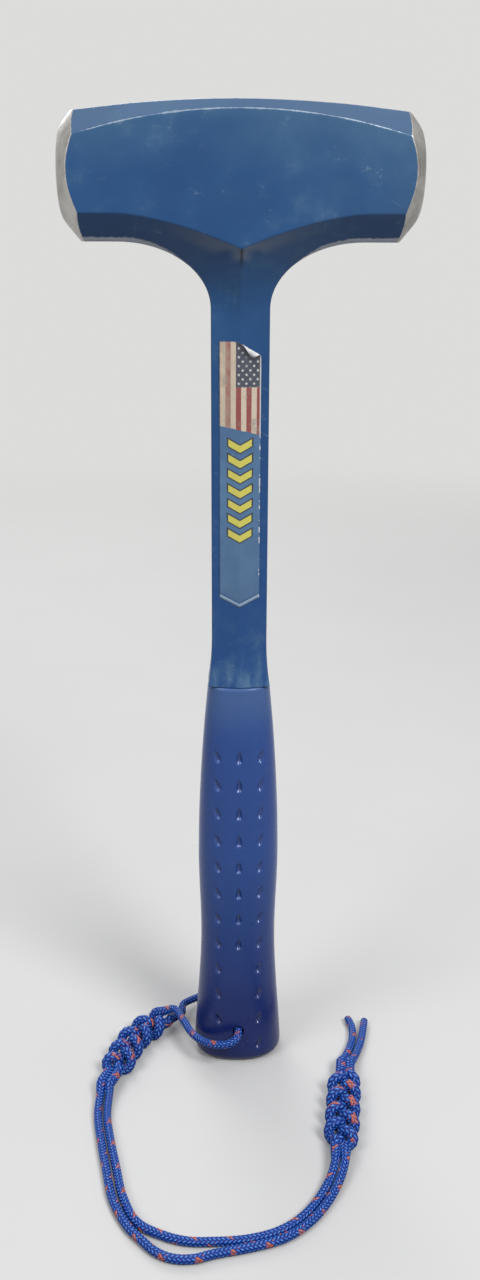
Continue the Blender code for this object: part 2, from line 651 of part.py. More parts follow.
def lanyard():
    """Both halves of the lanyard: five stretches of the front half and five of the back half."""
    material = principled("braided_cord", (0.015, 0.075, 0.480), 0.60, 0.0)
    quarter_turn = 0.25
    pairs = []
    halves = (
        (("lanyard_front_lead", "neck_knot_front_turns", "lanyard_outer_strand",
          "end_knot_outer_turns", "lanyard_right_tail"),
         cord_pieces((0.0, -CLEARANCE / 2, HOLE_HEIGHT), FRONT_LEAD_ROUTE,
                     knot_turns(NECK_KNOT_AXIS, -1, 1, quarter_turn),
                     OUTER_STRAND_ROUTE, knot_turns(END_KNOT_AXIS, -1, -1), RIGHT_TAIL_ROUTE)),
        (("lanyard_back_lead", "neck_knot_back_turns", "lanyard_inner_strand",
          "end_knot_inner_turns", "lanyard_left_tail"),
         cord_pieces((0.0, CLEARANCE / 2, HOLE_HEIGHT), BACK_LEAD_ROUTE,
                     knot_turns(NECK_KNOT_AXIS, 1, 1),
                     INNER_STRAND_ROUTE, knot_turns(END_KNOT_AXIS, 1, -1), LEFT_TAIL_ROUTE)),
    )
    turn_length = 2 * math.pi * math.hypot(KNOT_LOOP_REACH, KNOT_LOOP_RISE) / math.sqrt(2)
    for names, (line, travel, cuts) in halves:
        tubes = []
        for i, name in enumerate(names):
            start = cuts[i] + (CLEARANCE / 2 if i else 0.0)
            end = cuts[i + 1] - (CLEARANCE / 2 if i + 1 < len(names) else 0.0)
            wound = "turns" in name
            spacing = LEAD_POINT_SPACING if "lead" in name else CORD_POINT_SPACING
            round_steps = FREE_TUBE_STEPS
            if wound:
                spacing = turn_length / POINTS_PER_KNOT_TURN
                round_steps = WOUND_TUBE_STEPS
            points = cord_tube(name, line, travel, start, end, spacing, round_steps, material)
            tubes.append(points)
            if wound:
                print(f"{name}: least gap to itself {least_gap(points) * 1000:.2f} mm")
        pairs.append(tubes)
        print(f"{names[0]} to {names[-1]}: {travel[-1] * 1000:.0f} mm of cord")
    for name, front, back in list(zip(halves[0][0], *pairs))[1:]:
        print(f"{name} to its neighbour: {least_gap(front, back) * 1000:.2f} mm")


def build():
    """The whole hammer."""
    clear_scene()
    forged_head_and_shank()
    moulded_grip()
    shank_label()
    lanyard()


build()
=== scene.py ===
"""Looks of the short-handled sledgehammer: painted forging, dimpled grip, shank label, braided lanyard.

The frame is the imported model: +Z up the handle, X along the head, -Y the labelled front, in metres.
"""
import math

import bmesh
import bpy
import numpy as np
from mathutils import Matrix, Vector


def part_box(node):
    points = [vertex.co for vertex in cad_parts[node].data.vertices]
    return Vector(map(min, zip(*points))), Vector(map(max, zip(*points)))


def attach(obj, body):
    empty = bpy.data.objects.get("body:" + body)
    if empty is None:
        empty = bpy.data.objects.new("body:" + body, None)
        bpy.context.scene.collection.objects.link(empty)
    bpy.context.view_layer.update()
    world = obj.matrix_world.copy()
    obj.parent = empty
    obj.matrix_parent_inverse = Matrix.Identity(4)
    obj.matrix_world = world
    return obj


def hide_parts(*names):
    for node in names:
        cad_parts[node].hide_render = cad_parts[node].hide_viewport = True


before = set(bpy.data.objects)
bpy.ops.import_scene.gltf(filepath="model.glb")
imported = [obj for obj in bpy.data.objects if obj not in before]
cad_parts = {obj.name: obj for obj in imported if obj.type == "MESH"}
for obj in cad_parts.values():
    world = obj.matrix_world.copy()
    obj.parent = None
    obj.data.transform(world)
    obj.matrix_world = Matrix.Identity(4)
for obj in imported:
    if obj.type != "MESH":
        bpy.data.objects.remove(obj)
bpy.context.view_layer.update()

# Sizes read from the solids
FORGING_LOW, FORGING_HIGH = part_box("forged_head_and_shank")
GRIP_LOW, GRIP_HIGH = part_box("grip")
LABEL_LOW, LABEL_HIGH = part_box("shank_label")
OVERALL_LENGTH = FORGING_HIGH.z
HEAD_LENGTH = FORGING_HIGH.x - FORGING_LOW.x
HEAD_HALF_DEPTH = FORGING_HIGH.y
TANG_END_HEIGHT = FORGING_LOW.z
GRIP_LENGTH = GRIP_HIGH.z
BUTT_WIDTH = GRIP_HIGH.x - GRIP_LOW.x
BUTT_DEPTH = GRIP_HIGH.y - GRIP_LOW.y
LABEL_HALF_WIDTH = LABEL_HIGH.x
LABEL_TOP = LABEL_HIGH.z
LABEL_TIP = LABEL_LOW.z

# Head, as in the forging's solid
CLEARANCE = 0.0003
HEAD_END_HEIGHT = 0.0445
CROWN_RISE = 0.0036
TOP_CHAMFER_HEIGHT_END = 0.0086
TOP_CHAMFER_HEIGHT_MIDDLE = 0.0034
TOP_CHAMFER_DEPTH_MIDDLE = 0.0036
TOP_CHAMFER_POWER = 1.5
LOWER_CHAMFER_HEIGHT = 0.0098
END_CHAMFER_DEPTH = 0.0090
CHIN_DROP = 0.0120
CHIN_HALF_LENGTH = 0.046
CHIN_POWER = 1.6
FACE_AXIS_RISE = 0.0016
FACE_RADIUS = 0.0162
FACE_CROWN_RADIUS = 0.090
FACE_EDGE_BLEND = 0.0018
BEVEL_LENGTH_PER_RADIUS = 0.85
SWEEP_LENGTH = 0.034
SWEEP_DROP = 0.024
SWEEP_START_SHARE = 3 / 11
CHIN_SWEEP_ANGLE = math.radians(51)
RIDGE_BLEND_DROP = 0.031

# Shank, collar and tang
SHANK_HALF_WIDTH = 0.0113
SHANK_RIDGE_HALF = 0.0075
SHANK_EDGE_HALF = 0.0056
COLLAR_LENGTH = 0.020
COLLAR_HALF_WIDTH = 0.0129
COLLAR_RIDGE_HALF = 0.0093
COLLAR_EDGE_HALF = 0.0070
TANG_HALF_WIDTH = 0.0095
TANG_HALF_THICKNESS = 0.0050

# How far the rounding of each forged edge reaches, and the crease below the front's point
CRISP_EDGE = 0.0007
SOFT_EDGE = 0.0018
RIM_EDGE = 0.0005
CREASE_START = 0.0002
CREASE_LENGTH = 0.0050
CREASE_HALF_WIDTH = 0.0001
CREASE_DEPTH = 0.0007

# Rows of the forging's mesh: counts, and shares of a stretch or of the face's radius
HEAD_STEPS = 14
SWEEP_STEPS = 9
SWEEP_FIRST_SHARE = 0.03
NECK_STEPS = 4
SHANK_STEPS = 8
COLLAR_SHARES = (0.0, 0.2, 0.4, 0.6, 0.8, 0.985, 1.0)
FACE_SHARES = (1.20, 1.12, 1.06, 1.0, 0.94, 0.86, 0.6, 0.3)
CRISP_STEP_SHARE = 0.4
SAME_POINT = 0.0000005
ROUNDING_LEVELS = 2

# Wear of the paint along edges that turn sharply
WEAR_LEAST_TURN = math.radians(12)
WEAR_TURN_RANGE = math.radians(25)
UPPER_EDGE_EASE = 0.15
HEAD_EDGE_WEAR = 0.45
SHANK_EDGE_WEAR = 0.36
STEEL_TOLERANCE = 0.00005

# Painted highlight band under the front's point, and rubbed strip along the head's lower edges with a
# painted highlight on it
HIGHLIGHT_BAND_HALF_LENGTH = 0.030
HIGHLIGHT_BAND_TOP = 0.0003
HIGHLIGHT_BAND_FOOT = 0.0035
RUB_AND_HIGHLIGHT_HEIGHT = 0.0030
RUB_AND_HIGHLIGHT_END_X = 0.0125
RUB_AND_HIGHLIGHT_FADE = 0.020

# Grip: half width and half depth at rising heights, the lip, and the rings and sides of its mesh
GRIP_STATIONS = (
    (0.0060, 0.0198, 0.0158),
    (0.0600, 0.0166, 0.0135),
    (0.1020, 0.0175, 0.0141),
    (GRIP_LENGTH - 0.021, 0.0149, 0.0116),
    (GRIP_LENGTH, 0.0130, 0.0098),
)
GRIP_SQUARENESS = 2.4
GRIP_LIP_WIDTH = 0.0006
GRIP_LIP_HEIGHT = 0.0014
GRIP_SEAT_GAP = 0.00003
BUTT_EDGE_RADIUS = 0.0045
BUTT_EDGE_RINGS = 8
GRIP_RINGS = 340
GRIP_LIP_RINGS = 7
DIMPLED_SIDES = 92
PLAIN_SIDES = 40
GRIP_SHARP_ANGLE = math.radians(38)

# Moulded dimples on the grip's front and back
DIMPLE_COLUMN = 0.0094
DIMPLE_TOP_HEIGHT = 0.1512
DIMPLE_PITCH = 0.01283
DIMPLE_FULL_ROWS = 8
DIMPLE_SIDE_ROWS = 11
DIMPLE_HALF_LENGTH = 0.0029
DIMPLE_HALF_WIDTH = 0.00135
DIMPLE_DEPTH = 0.0013
DIMPLE_LOWEST = -0.45
DIMPLE_NARROWING = 0.22
DIMPLE_TILT = math.radians(18)
DIMPLED_FROM_Y = 0.004

# Label film, its rippled edges and its curled corner
LABEL_POINT_LENGTH = 0.0040
LABEL_COLUMNS = 32
LABEL_ROWS = 150
LABEL_ROW_POWER = 1.5
FILM_THICKNESS = 0.00014
FILM_GAP = 0.00006
RIPPLE_HEIGHT = 0.00010
RIPPLE_START = 0.7
RIPPLE_TURNS = 900
CURL_REACH = 0.0056
CURL_RADIUS = 0.0012
CURL_DIRECTION = Vector((0.50, 0.0, 0.86)).normalized()

# Label print, in millimetres across from the label's middle and up from its tip
STRIPE_PITCH = 4.05
STRIPE_WIDTH = 2.0
STRIPE_START = -5.75
STRIPES_FOOT = 72.0
STRIPES_FOOT_SLOPE = 0.23
STARRED_LEFT = -1.70
STARRED_RIGHT = 7.55
STARRED_FOOT = 88.5
STAR_SPACING = 2.93
STAR_FIRST = -0.60
STAR_ROW_SPACING = 1.66
STAR_ROW_FOOT = 89.1
STAR_RADIUS = 0.40
STAR_POINTS = 5.0
STAR_POINT_LENGTH = 0.17
STAR_EDGE = 0.05
CHEVRON_PITCH = 6.0
CHEVRON_COUNT = 7
CHEVRON_FOOT = 26.0
CHEVRON_SLOPE = 0.55
CHEVRON_HALF_WIDTH = 5.2
CHEVRON_LOW = 0.7
CHEVRON_HIGH = 4.6
CHEVRON_OUTLINE = 0.6
BORDER_HEIGHT = 1.4
BORDER_LINE = (1.7, 2.2)
BARE_AND_GLINT_EDGE = 7.55
PRINT_EDGE = 0.08
WORN_EDGE = 0.1
MILLIMETRES = 1000

# Lanyard cord, its hole, its braid and its two knots
CORD_DIAMETER = 0.0035
CORD_LIE = 0.00195
FLOOR_GAP = 0.0001
HOLE_RADIUS = 0.00245
HOLE_FLARE = 0.0006
HOLE_HEIGHT = 0.0170
HOLE_OVERRUN = 1.4
HOLE_SIDES = 48
HOLE_FLARE_RINGS = 6
KNOT_TURNS = 5
KNOT_EASE = 0.14
KNOT_STRAND_GAP = 0.0004
KNOT_SPREAD = 0.0028
KNOT_LOOP_REACH = 0.0025
KNOT_LOOP_RISE = 0.0028
KNOT_CROSSING_LIFT = 0.0016
KNOT_FULLNESS = 0.30
KNOT_FULLNESS_EASE = 0.006
POINTS_PER_KNOT_TURN = 12
LINE_STEPS = 12
BRAID_STRANDS = 8
BRAID_PITCH = 0.0135
BRAID_DEPTH = 0.00030
BRAID_ARCH = 0.6
CORD_RING_SPACING = 0.00028
CORD_SIDES = 40
BRAID_SUNK_SHARE = 0.8
MELTED_END = 0.0012
MELTED_FILL = 0.6
MELTED_TIP_SHARE = 0.02

# Lanyard route: the knots' axes on the table, then the free stretches
NECK_KNOT_AXIS = ((-0.0330, 0.0125), (-0.0464, 0.0000), (-0.0567, -0.0277))
END_KNOT_AXIS = ((0.0408, -0.0764), (0.0441, -0.0531), (0.0476, -0.0291))
FRONT_LEAD_ROUTE = (
    (0.0, -0.0095, HOLE_HEIGHT), (0.0, -0.0160, HOLE_HEIGHT), (-0.0010, -0.0198, 0.0163),
    (-0.0048, -0.0218, 0.0150), (-0.0108, -0.0203, 0.0138), (-0.0166, -0.0157, 0.0126),
    (-0.0216, -0.0085, 0.0119), (-0.0250, 0.0000, 0.0117),
)
BACK_LEAD_ROUTE = (
    (0.0, 0.0095, HOLE_HEIGHT), (0.0, 0.0160, HOLE_HEIGHT), (-0.0012, 0.0200, 0.0162),
    (-0.0058, 0.0238, 0.0136), (-0.0122, 0.0258, 0.0098), (-0.0190, 0.0253, 0.0068),
    (-0.0258, 0.0212, 0.0058),
)
INNER_STRAND_ROUTE = (
    (-0.0571, -0.0400, 0.0030), (-0.0571, -0.0513, CORD_LIE), (-0.0540, -0.0687, CORD_LIE),
    (-0.0509, -0.0824, CORD_LIE), (-0.0475, -0.0969, CORD_LIE), (-0.0409, -0.1108, CORD_LIE),
    (-0.0312, -0.1172, CORD_LIE), (-0.0220, -0.1203, CORD_LIE), (-0.0126, -0.1208, CORD_LIE),
    (0.0017, -0.1198, CORD_LIE), (0.0136, -0.1160, CORD_LIE), (0.0228, -0.1092, CORD_LIE),
    (0.0302, -0.0995, CORD_LIE), (0.0354, -0.0900, 0.0031),
)
OUTER_STRAND_ROUTE = (
    (-0.0611, -0.0397, 0.0030), (-0.0611, -0.0512, CORD_LIE), (-0.0579, -0.0695, CORD_LIE),
    (-0.0549, -0.0834, CORD_LIE), (-0.0513, -0.0987, CORD_LIE), (-0.0447, -0.1124, CORD_LIE),
    (-0.0388, -0.1195, CORD_LIE), (-0.0331, -0.1252, CORD_LIE), (-0.0267, -0.1283, CORD_LIE),
    (-0.0189, -0.1286, CORD_LIE), (-0.0115, -0.1265, CORD_LIE), (0.0024, -0.1236, CORD_LIE),
    (0.0153, -0.1195, CORD_LIE), (0.0255, -0.1119, CORD_LIE), (0.0334, -0.1016, CORD_LIE),
    (0.0390, -0.0914, 0.0031),
)
LEFT_TAIL_ROUTE = (
    (0.0490, -0.0160, 0.0027), (0.0534, -0.0045, CORD_LIE), (0.0549, 0.0060, CORD_LIE),
    (0.0534, 0.0146, CORD_LIE),
)
RIGHT_TAIL_ROUTE = (
    (0.0531, -0.0167, 0.0027), (0.0576, -0.0046, CORD_LIE), (0.0616, 0.0128, CORD_LIE),
)

# Camera, fitted to the photograph's 480 by 1280 frame
CAMERA_PLACE = Vector((-0.012, -0.476, 0.360))
CAMERA_PITCH = math.radians(18.6)
CAMERA_YAW = math.radians(1.5)
CAMERA_ROLL = math.radians(0.24)
FRAME_HEIGHT = 1280
FOCAL_PIXELS = 1200
SENSOR_SIZE = 36.0
NEAR_CLIP = 0.01

# Floor, the room's light, and the soft lamps: name, place, size and watts
FLOOR_RADIUS = 1.6
FLOOR_SIDES = 96
FLOOR_FADE_RADIUS = 0.45
FLOOR_BOUNCE = (0.080, 0.080, 0.085)
ROOM_COLOUR = (0.72, 0.72, 0.71)
ROOM_LIGHT_COLOUR = (0.90, 0.93, 1.00)
ROOM_LIGHT = 0.25
LAMP_AIM = Vector((0.0, 0.0, 0.20))
SOFTBOXES = (
    ("key_softbox", (0.75, -0.95, 1.35), 0.7, 19.5),
    ("fill_softbox", (-1.05, -0.85, 1.30), 0.9, 10.0),
    ("top_softbox", (0.0, 0.05, 1.40), 1.6, 5.5),
    ("back_softbox", (-0.35, 1.25, 1.05), 0.9, 9.5),
)

# Heights and places that follow from the sizes above
TOP_HEIGHT_AT_ENDS = OVERALL_LENGTH - CROWN_RISE
UNDERSIDE_HEIGHT = TOP_HEIGHT_AT_ENDS - HEAD_END_HEIGHT
HEAD_AXIS_HEIGHT = UNDERSIDE_HEIGHT + HEAD_END_HEIGHT / 2 + FACE_AXIS_RISE
FRONT_LOWER_EDGE_HEIGHT = UNDERSIDE_HEIGHT + LOWER_CHAMFER_HEIGHT
CHIN_HEIGHT = FRONT_LOWER_EDGE_HEIGHT - CHIN_DROP
SWEEP_END_HEIGHT = UNDERSIDE_HEIGHT - SWEEP_DROP
SWEEP_START_X = SHANK_HALF_WIDTH + SWEEP_LENGTH
RIDGE_BLEND_END = CHIN_HEIGHT - RIDGE_BLEND_DROP
COLLAR_FOOT_HEIGHT = GRIP_LENGTH + CLEARANCE
COLLAR_TOP_HEIGHT = COLLAR_FOOT_HEIGHT + COLLAR_LENGTH
KNOT_ENTRY_OFFSET = (CORD_DIAMETER + KNOT_STRAND_GAP) / 2
KNOT_AXIS_HEIGHT = KNOT_LOOP_RISE + CORD_LIE


class Socket:
    """A shader socket that takes part in Python expressions: arithmetic on it adds Math nodes."""

    def __init__(self, tree, socket=None):
        self.tree = tree
        self.socket = socket

    def add(self, kind, settings=None, sockets=None, output=None):
        """Add a node: its settings first, then the values or links of its sockets."""
        node = self.tree.nodes.new(kind)
        for name, value in (settings or {}).items():
            setattr(node, name, value)
        for name, value in (sockets or {}).items():
            self.feed(pick(node.inputs, name), value)
        return Socket(self.tree, pick(node.outputs, output))

    def feed(self, target, value):
        """Link a socket, or set a plain value on it."""
        if isinstance(value, Socket):
            self.tree.links.new(value.socket, target)
        else:
            target.default_value = value

    def maths(self, operation, *values):
        """A Math node on this socket and further values."""
        numbered = dict(enumerate((self, *values)))
        return self.add("ShaderNodeMath", {"operation": operation}, numbered)

    def __add__(self, other):
        return self.maths("ADD", other)

    __radd__ = __add__

    def __mul__(self, other):
        return self.maths("MULTIPLY", other)

    __rmul__ = __mul__

    def __sub__(self, other):
        return self.maths("SUBTRACT", other)

    def __rsub__(self, other):
        return self * -1.0 + other

    def __truediv__(self, other):
        return self.maths("DIVIDE", other)

    def __mod__(self, other):
        return self.maths("FLOORED_MODULO", other)

    def __pow__(self, other):
        return self.maths("POWER", other)

    def above(self, limit):
        return self.maths("GREATER_THAN", limit)

    def below(self, limit):
        return self.maths("LESS_THAN", limit)

    def ramp(self, low, high):
        """0 at low, 1 at high, smooth between; low may be the larger."""
        sockets = {"Value": self, "From Min": low, "From Max": high}
        return self.add("ShaderNodeMapRange", {"interpolation_type": "SMOOTHSTEP"}, sockets)


def pick(sockets, name):
    """The shown socket of that name or number, or the first shown one."""
    if isinstance(name, int):
        return sockets[name]
    shown = [socket for socket in sockets if socket.enabled]
    return next(socket for socket in shown if name in (None, socket.name))


def mix(share, first, second):
    """A colour a share of the way from first to second."""
    colours = {"Factor": share, "A": opaque(first), "B": opaque(second)}
    return share.add("ShaderNodeMix", {"data_type": "RGBA"}, colours)


def opaque(colour):
    """A colour with its alpha, or a socket as it is."""
    return colour if isinstance(colour, Socket) else (*colour, 1.0)


def finish(surface):
    """A material named for its surface function, which gives the inputs of its Principled shader."""
    material = bpy.data.materials.new(surface.__name__)
    material.use_nodes = True
    tree = material.node_tree
    shader = tree.nodes["Principled BSDF"]
    start = Socket(tree)
    for socket, value in surface(start).items():
        start.feed(shader.inputs[socket], value)
    return material


def place_on(start):
    """The point's place on the object."""
    return start.add("ShaderNodeTexCoord", output="Object")


def noise(point, scale, detail=3.0, roughness=0.5, stretch=(1.0, 1.0, 1.0)):
    """Cloudy noise at a scale per metre, from about 0 to 1."""
    stretched = point.add("ShaderNodeVectorMath", {"operation": "MULTIPLY"}, {0: point, 1: stretch})
    sockets = {"Vector": stretched, "Scale": scale, "Detail": detail, "Roughness": roughness}
    return point.add("ShaderNodeTexNoise", sockets=sockets)


def coordinate(vector, axis):
    """X, Y or Z of a vector."""
    return vector.add("ShaderNodeSeparateXYZ", sockets={"Vector": vector}, output=axis)


def specks(point, scale, radius, share):
    """Small round spots: a share of the cells of a grid hold one, radius in cells."""
    sockets = {"Vector": point, "Scale": scale}
    distance = point.add("ShaderNodeTexVoronoi", sockets=sockets)
    chosen = point.add("ShaderNodeTexVoronoi", sockets=sockets, output="Color")
    drawn = point.add("ShaderNodeSeparateColor", sockets={"Color": chosen})
    return distance.ramp(radius, radius * 0.5) * drawn.below(share)


def attribute(start, name):
    """A value stored on the mesh."""
    return start.add("ShaderNodeAttribute", {"attribute_name": name}, output="Fac")


def bump(height, distance):
    """A normal from a height in shares of a distance in metres."""
    return height.add("ShaderNodeBump", sockets={"Height": height, "Distance": distance})


def scratches(point, angle, scale, level):
    """Fine lines across the front at an angle: noise drawn out along them."""
    sockets = {"Vector": point, "Angle": angle}
    turned = point.add("ShaderNodeVectorRotate", {"rotation_type": "Y_AXIS"}, sockets)
    return noise(turned, scale, detail=2.0, stretch=(0.04, 0.4, 1.0)).ramp(level, level + 0.05)


def crossed_scratches(point, cloud, smear):
    """Scratches in three directions, each over patches of its own."""
    lines = scratches(point, 0.12, 1300.0, 0.68) * smear.ramp(0.52, 0.64)
    lines = lines + scratches(point, 0.75, 1700.0, 0.68) * cloud.ramp(0.52, 0.62)
    return lines + scratches(point, -0.5, 1500.0, 0.69) * cloud.ramp(0.46, 0.38)


def upper_right_paler_blue(point, upward, cloud, smear):
    """Blue paint, clearer down the shank, paler in patches towards the head's upper right."""
    x = coordinate(point, "X")
    z = coordinate(point, "Z")
    blue = mix(cloud.ramp(0.30, 0.72), (0.014, 0.068, 0.195), (0.022, 0.094, 0.245))
    blue = mix(z.ramp(SWEEP_END_HEIGHT, COLLAR_TOP_HEIGHT) * 0.6, blue, (0.014, 0.066, 0.240))
    paler_patches = noise(point, 16.0, detail=3.0, stretch=(0.6, 1.0, 1.2))
    paler_patches = paler_patches + x * 3.0 + (z - HEAD_AXIS_HEIGHT) * 5.0
    paler_patches = paler_patches.ramp(0.38, 0.68) * (smear * 0.9 + 0.30) * (1.0 - upward)
    return mix(paler_patches, blue, (0.070, 0.160, 0.275))


def collar_streaks(point):
    """Where pale streaks run down the collar."""
    z = coordinate(point, "Z")
    collar = z.ramp(COLLAR_TOP_HEIGHT, COLLAR_FOOT_HEIGHT) * z.ramp(TANG_END_HEIGHT, COLLAR_FOOT_HEIGHT)
    return collar * noise(point, 170.0, detail=4.0, stretch=(1.0, 1.0, 0.25)).ramp(0.44, 0.64)


def turning_marks(point):
    """Fine rings left by turning the striking ends."""
    x, y, z = (coordinate(point, axis) for axis in "XYZ")
    rise = z - HEAD_AXIS_HEIGHT
    radius = (y * y + rise * rise) ** 0.5
    rings = point.add("ShaderNodeCombineXYZ", sockets={"X": radius, "Y": x * 0.3})
    return noise(rings, 2600.0, detail=2.0)


def stained_steel(point, turned, stain):
    """Colour of the bare steel: stained, ringed and pitted."""
    steel = mix(stain.ramp(0.32, 0.72), (0.500, 0.487, 0.460), (0.225, 0.214, 0.200))
    steel = mix(turned.ramp(0.35, 0.70) * 0.30, steel, (0.510, 0.500, 0.485))
    return mix(specks(point, 210.0, 0.12, 0.12) * 0.5, steel, (0.160, 0.145, 0.130))


def painted_steel(start):
    """Semi-gloss blue paint, nicked and rubbed along its edges, over ground steel striking ends."""
    point = place_on(start)
    upward = coordinate(start.add("ShaderNodeNewGeometry", output="Normal"), "Z").ramp(0.25, 0.75)
    cloud = noise(point, 24.0, detail=4.0)
    smear = noise(point, 85.0, detail=6.0, roughness=0.65)
    ragged = noise(point, 420.0, detail=4.0, roughness=0.65)
    haze = smear.ramp(0.46, 0.72) * cloud.ramp(0.42, 0.64)
    rubbed = ragged.ramp(0.56, 0.72) * smear.ramp(0.54, 0.66)
    lines = crossed_scratches(point, cloud, smear)
    nicks = specks(point, 150.0, 0.085, 0.14)
    blue = upper_right_paler_blue(point, upward, cloud, smear)
    blue = mix(haze * 0.60, blue, (0.090, 0.180, 0.285))
    blue = mix(rubbed * 0.45, blue, (0.230, 0.325, 0.410))
    blue = mix(lines * 0.22, blue, (0.260, 0.350, 0.420))
    blue = mix(collar_streaks(point) * 0.60, blue, (0.120, 0.230, 0.360))
    blue = mix(upward * (smear * 0.4 + 0.25), blue, (0.033, 0.080, 0.125))
    blue = mix(nicks * 0.60, blue, (0.420, 0.500, 0.560))

    # Painted highlight: a pale band under the front's pointed lower edge
    highlight_band = attribute(start, "trimmed_edge") * (smear * 0.6 + 0.50)
    blue = mix(highlight_band, blue, (0.190, 0.240, 0.320))
    # Painted shade: near-black in the short crease below the front's point
    blue = mix(attribute(start, "chin_crease") * 0.9, blue, (0.006, 0.008, 0.012))
    rub = attribute(start, "edge_rub")
    worn = (rub + (ragged - 0.5) * 0.9 + (smear - 0.5) * 0.8).ramp(0.60, 0.85)
    painted = mix(worn * 0.65, blue, (0.380, 0.445, 0.510))
    # Rubbed strip along the lower edges, painted near-white as a highlight of light from below
    strip = (attribute(start, "underside_rub") + (ragged - 0.5) * 0.5).ramp(0.40, 0.62)
    painted = mix(strip * 0.90, painted, (0.740, 0.775, 0.830))

    bare = (attribute(start, "bare_steel") + (ragged - 0.5) * 0.5).ramp(0.40, 0.60)
    turned = turning_marks(point)
    stain = noise(point, 55.0, detail=5.0, roughness=0.65)
    peel = noise(point, 700.0, detail=2.0)
    relief = peel * 0.5 + (1.0 - worn) * 0.8 - nicks * 0.8 - lines * 0.3
    relief = relief * (1.0 - bare) + turned * bare * 0.6
    return {
        "Base Color": mix(bare, painted, stained_steel(point, turned, stain)),
        "Metallic": (bare + worn * 0.30).ramp(0.0, 1.0),
        "Roughness": (smear - 0.5) * 0.30 + 0.40 + haze * 0.15 + bare * (stain - 0.4) * 0.3,
        "Normal": bump(relief, 0.00006),
        "Coat Weight": (1.0 - bare) * 0.10,
        "Coat Roughness": 0.28,
        "Specular IOR Level": 0.3,
    }


def blue_vinyl(start):
    """Moulded vinyl, paler and clearer at its thin top, with painted shade darkening it towards the butt.
    """
    point = place_on(start)
    z = coordinate(point, "Z")
    cloud = noise(point, 40.0, detail=3.0)
    scuff = noise(point, 150.0, detail=5.0, roughness=0.65)
    grain = noise(point, 1400.0, detail=2.0)
    # Painted shade: the vinyl darkens from mid-grip down to the butt
    body = mix(z.ramp(0.0, 0.11), (0.005, 0.012, 0.105), (0.027, 0.080, 0.290))
    body = mix(cloud.ramp(0.3, 0.75) * 0.3, body, (0.015, 0.045, 0.210))
    body = mix((z + (cloud - 0.5) * 0.008).ramp(0.156, 0.178) * 0.65, body, (0.075, 0.145, 0.320))
    dimple = attribute(start, "dimple").ramp(0.0, 0.4)
    dust = specks(point, 230.0, 0.07, 0.10)
    body = mix(dust * 0.35, body, (0.320, 0.370, 0.480))
    return {
        "Base Color": mix(scuff.ramp(0.58, 0.80) * 0.20, body, (0.095, 0.135, 0.290)),
        "Roughness": (scuff - 0.5) * 0.25 + 0.30 - dimple * 0.12,
        "Normal": bump(grain * 0.6 + scuff * 0.4, 0.00004),
        "Coat Weight": cloud * 0.14 + dimple * 0.4,
        "Coat Roughness": 0.18,
        "Specular IOR Level": 0.30,
    }


def inside(value, low, high):
    """1 between two limits, with a printed edge's softness."""
    rising = value.ramp(low - PRINT_EDGE, low + PRINT_EDGE)
    return rising * value.ramp(high + PRINT_EDGE, high - PRINT_EDGE)


def striped_panel(across, up, wear, blotch):
    """Faded stripes up the label, with small stars on a slate corner."""
    place = (across - STRIPE_START) % STRIPE_PITCH
    pale = place.ramp(STRIPE_WIDTH - PRINT_EDGE, STRIPE_WIDTH + PRINT_EDGE)
    panel = mix(pale, (0.305, 0.062, 0.060), (0.680, 0.575, 0.440))
    faded = across.ramp(0.0, -6.5) * blotch.ramp(0.32, 0.66)
    panel = mix(faded * 0.75, panel, (0.520, 0.420, 0.310))
    grimy = wear.ramp(0.50, 0.72) * blotch.ramp(0.42, 0.60)
    panel = mix(grimy * 0.55, panel, (0.330, 0.250, 0.190))
    corner = inside(across, STARRED_LEFT, STARRED_RIGHT) * up.above(STARRED_FOOT)
    slate = mix(wear.ramp(0.35, 0.70), (0.046, 0.056, 0.088), (0.085, 0.092, 0.118))
    panel = mix(corner, panel, slate)
    return mix(stars(across, up) * corner * wear.ramp(0.75, 0.50), panel, (0.720, 0.715, 0.690))


def stars(across, up):
    """Small stars in rows, every other row shifted by half their spacing."""
    half_spacing = STAR_SPACING / 2
    risen = up - STAR_ROW_FOOT
    row = (risen / STAR_ROW_SPACING).maths("FLOOR")
    shifted = across + (row % 2.0) * half_spacing + (half_spacing - STAR_FIRST)
    star_across = shifted % STAR_SPACING - half_spacing
    star_up = risen % STAR_ROW_SPACING - STAR_ROW_SPACING / 2
    radius = (star_across * star_across + star_up * star_up) ** 0.5
    points = (star_across.maths("ARCTAN2", star_up) * STAR_POINTS).maths("COSINE") * STAR_POINT_LENGTH
    return (points + STAR_RADIUS - radius).ramp(-STAR_EDGE, STAR_EDGE)


def add_chevrons(colour, across, up):
    """Plain outlined chevrons in a column up the label."""
    fold = across.maths("ABSOLUTE")
    rise = up - fold * CHEVRON_SLOPE - CHEVRON_FOOT
    column = inside(rise, 0.0, CHEVRON_PITCH * CHEVRON_COUNT)
    for margin, ink in ((0.0, (0.020, 0.030, 0.050)), (CHEVRON_OUTLINE, (0.700, 0.640, 0.110))):
        printed = inside(rise % CHEVRON_PITCH, CHEVRON_LOW + margin, CHEVRON_HIGH - margin)
        printed = printed * column * fold.below(CHEVRON_HALF_WIDTH - margin)
        colour = mix(printed, colour, ink)
    return colour


def add_border(colour, across, up):
    """A pale border along the label's pointed foot, with a dark line over it."""
    from_foot = up - across.maths("ABSOLUTE") * (LABEL_POINT_LENGTH / LABEL_HALF_WIDTH)
    colour = mix(inside(from_foot, *BORDER_LINE), colour, (0.030, 0.085, 0.190))
    pale = from_foot.ramp(BORDER_HEIGHT + WORN_EDGE, BORDER_HEIGHT - WORN_EDGE)
    return mix(pale, colour, (0.300, 0.450, 0.620))


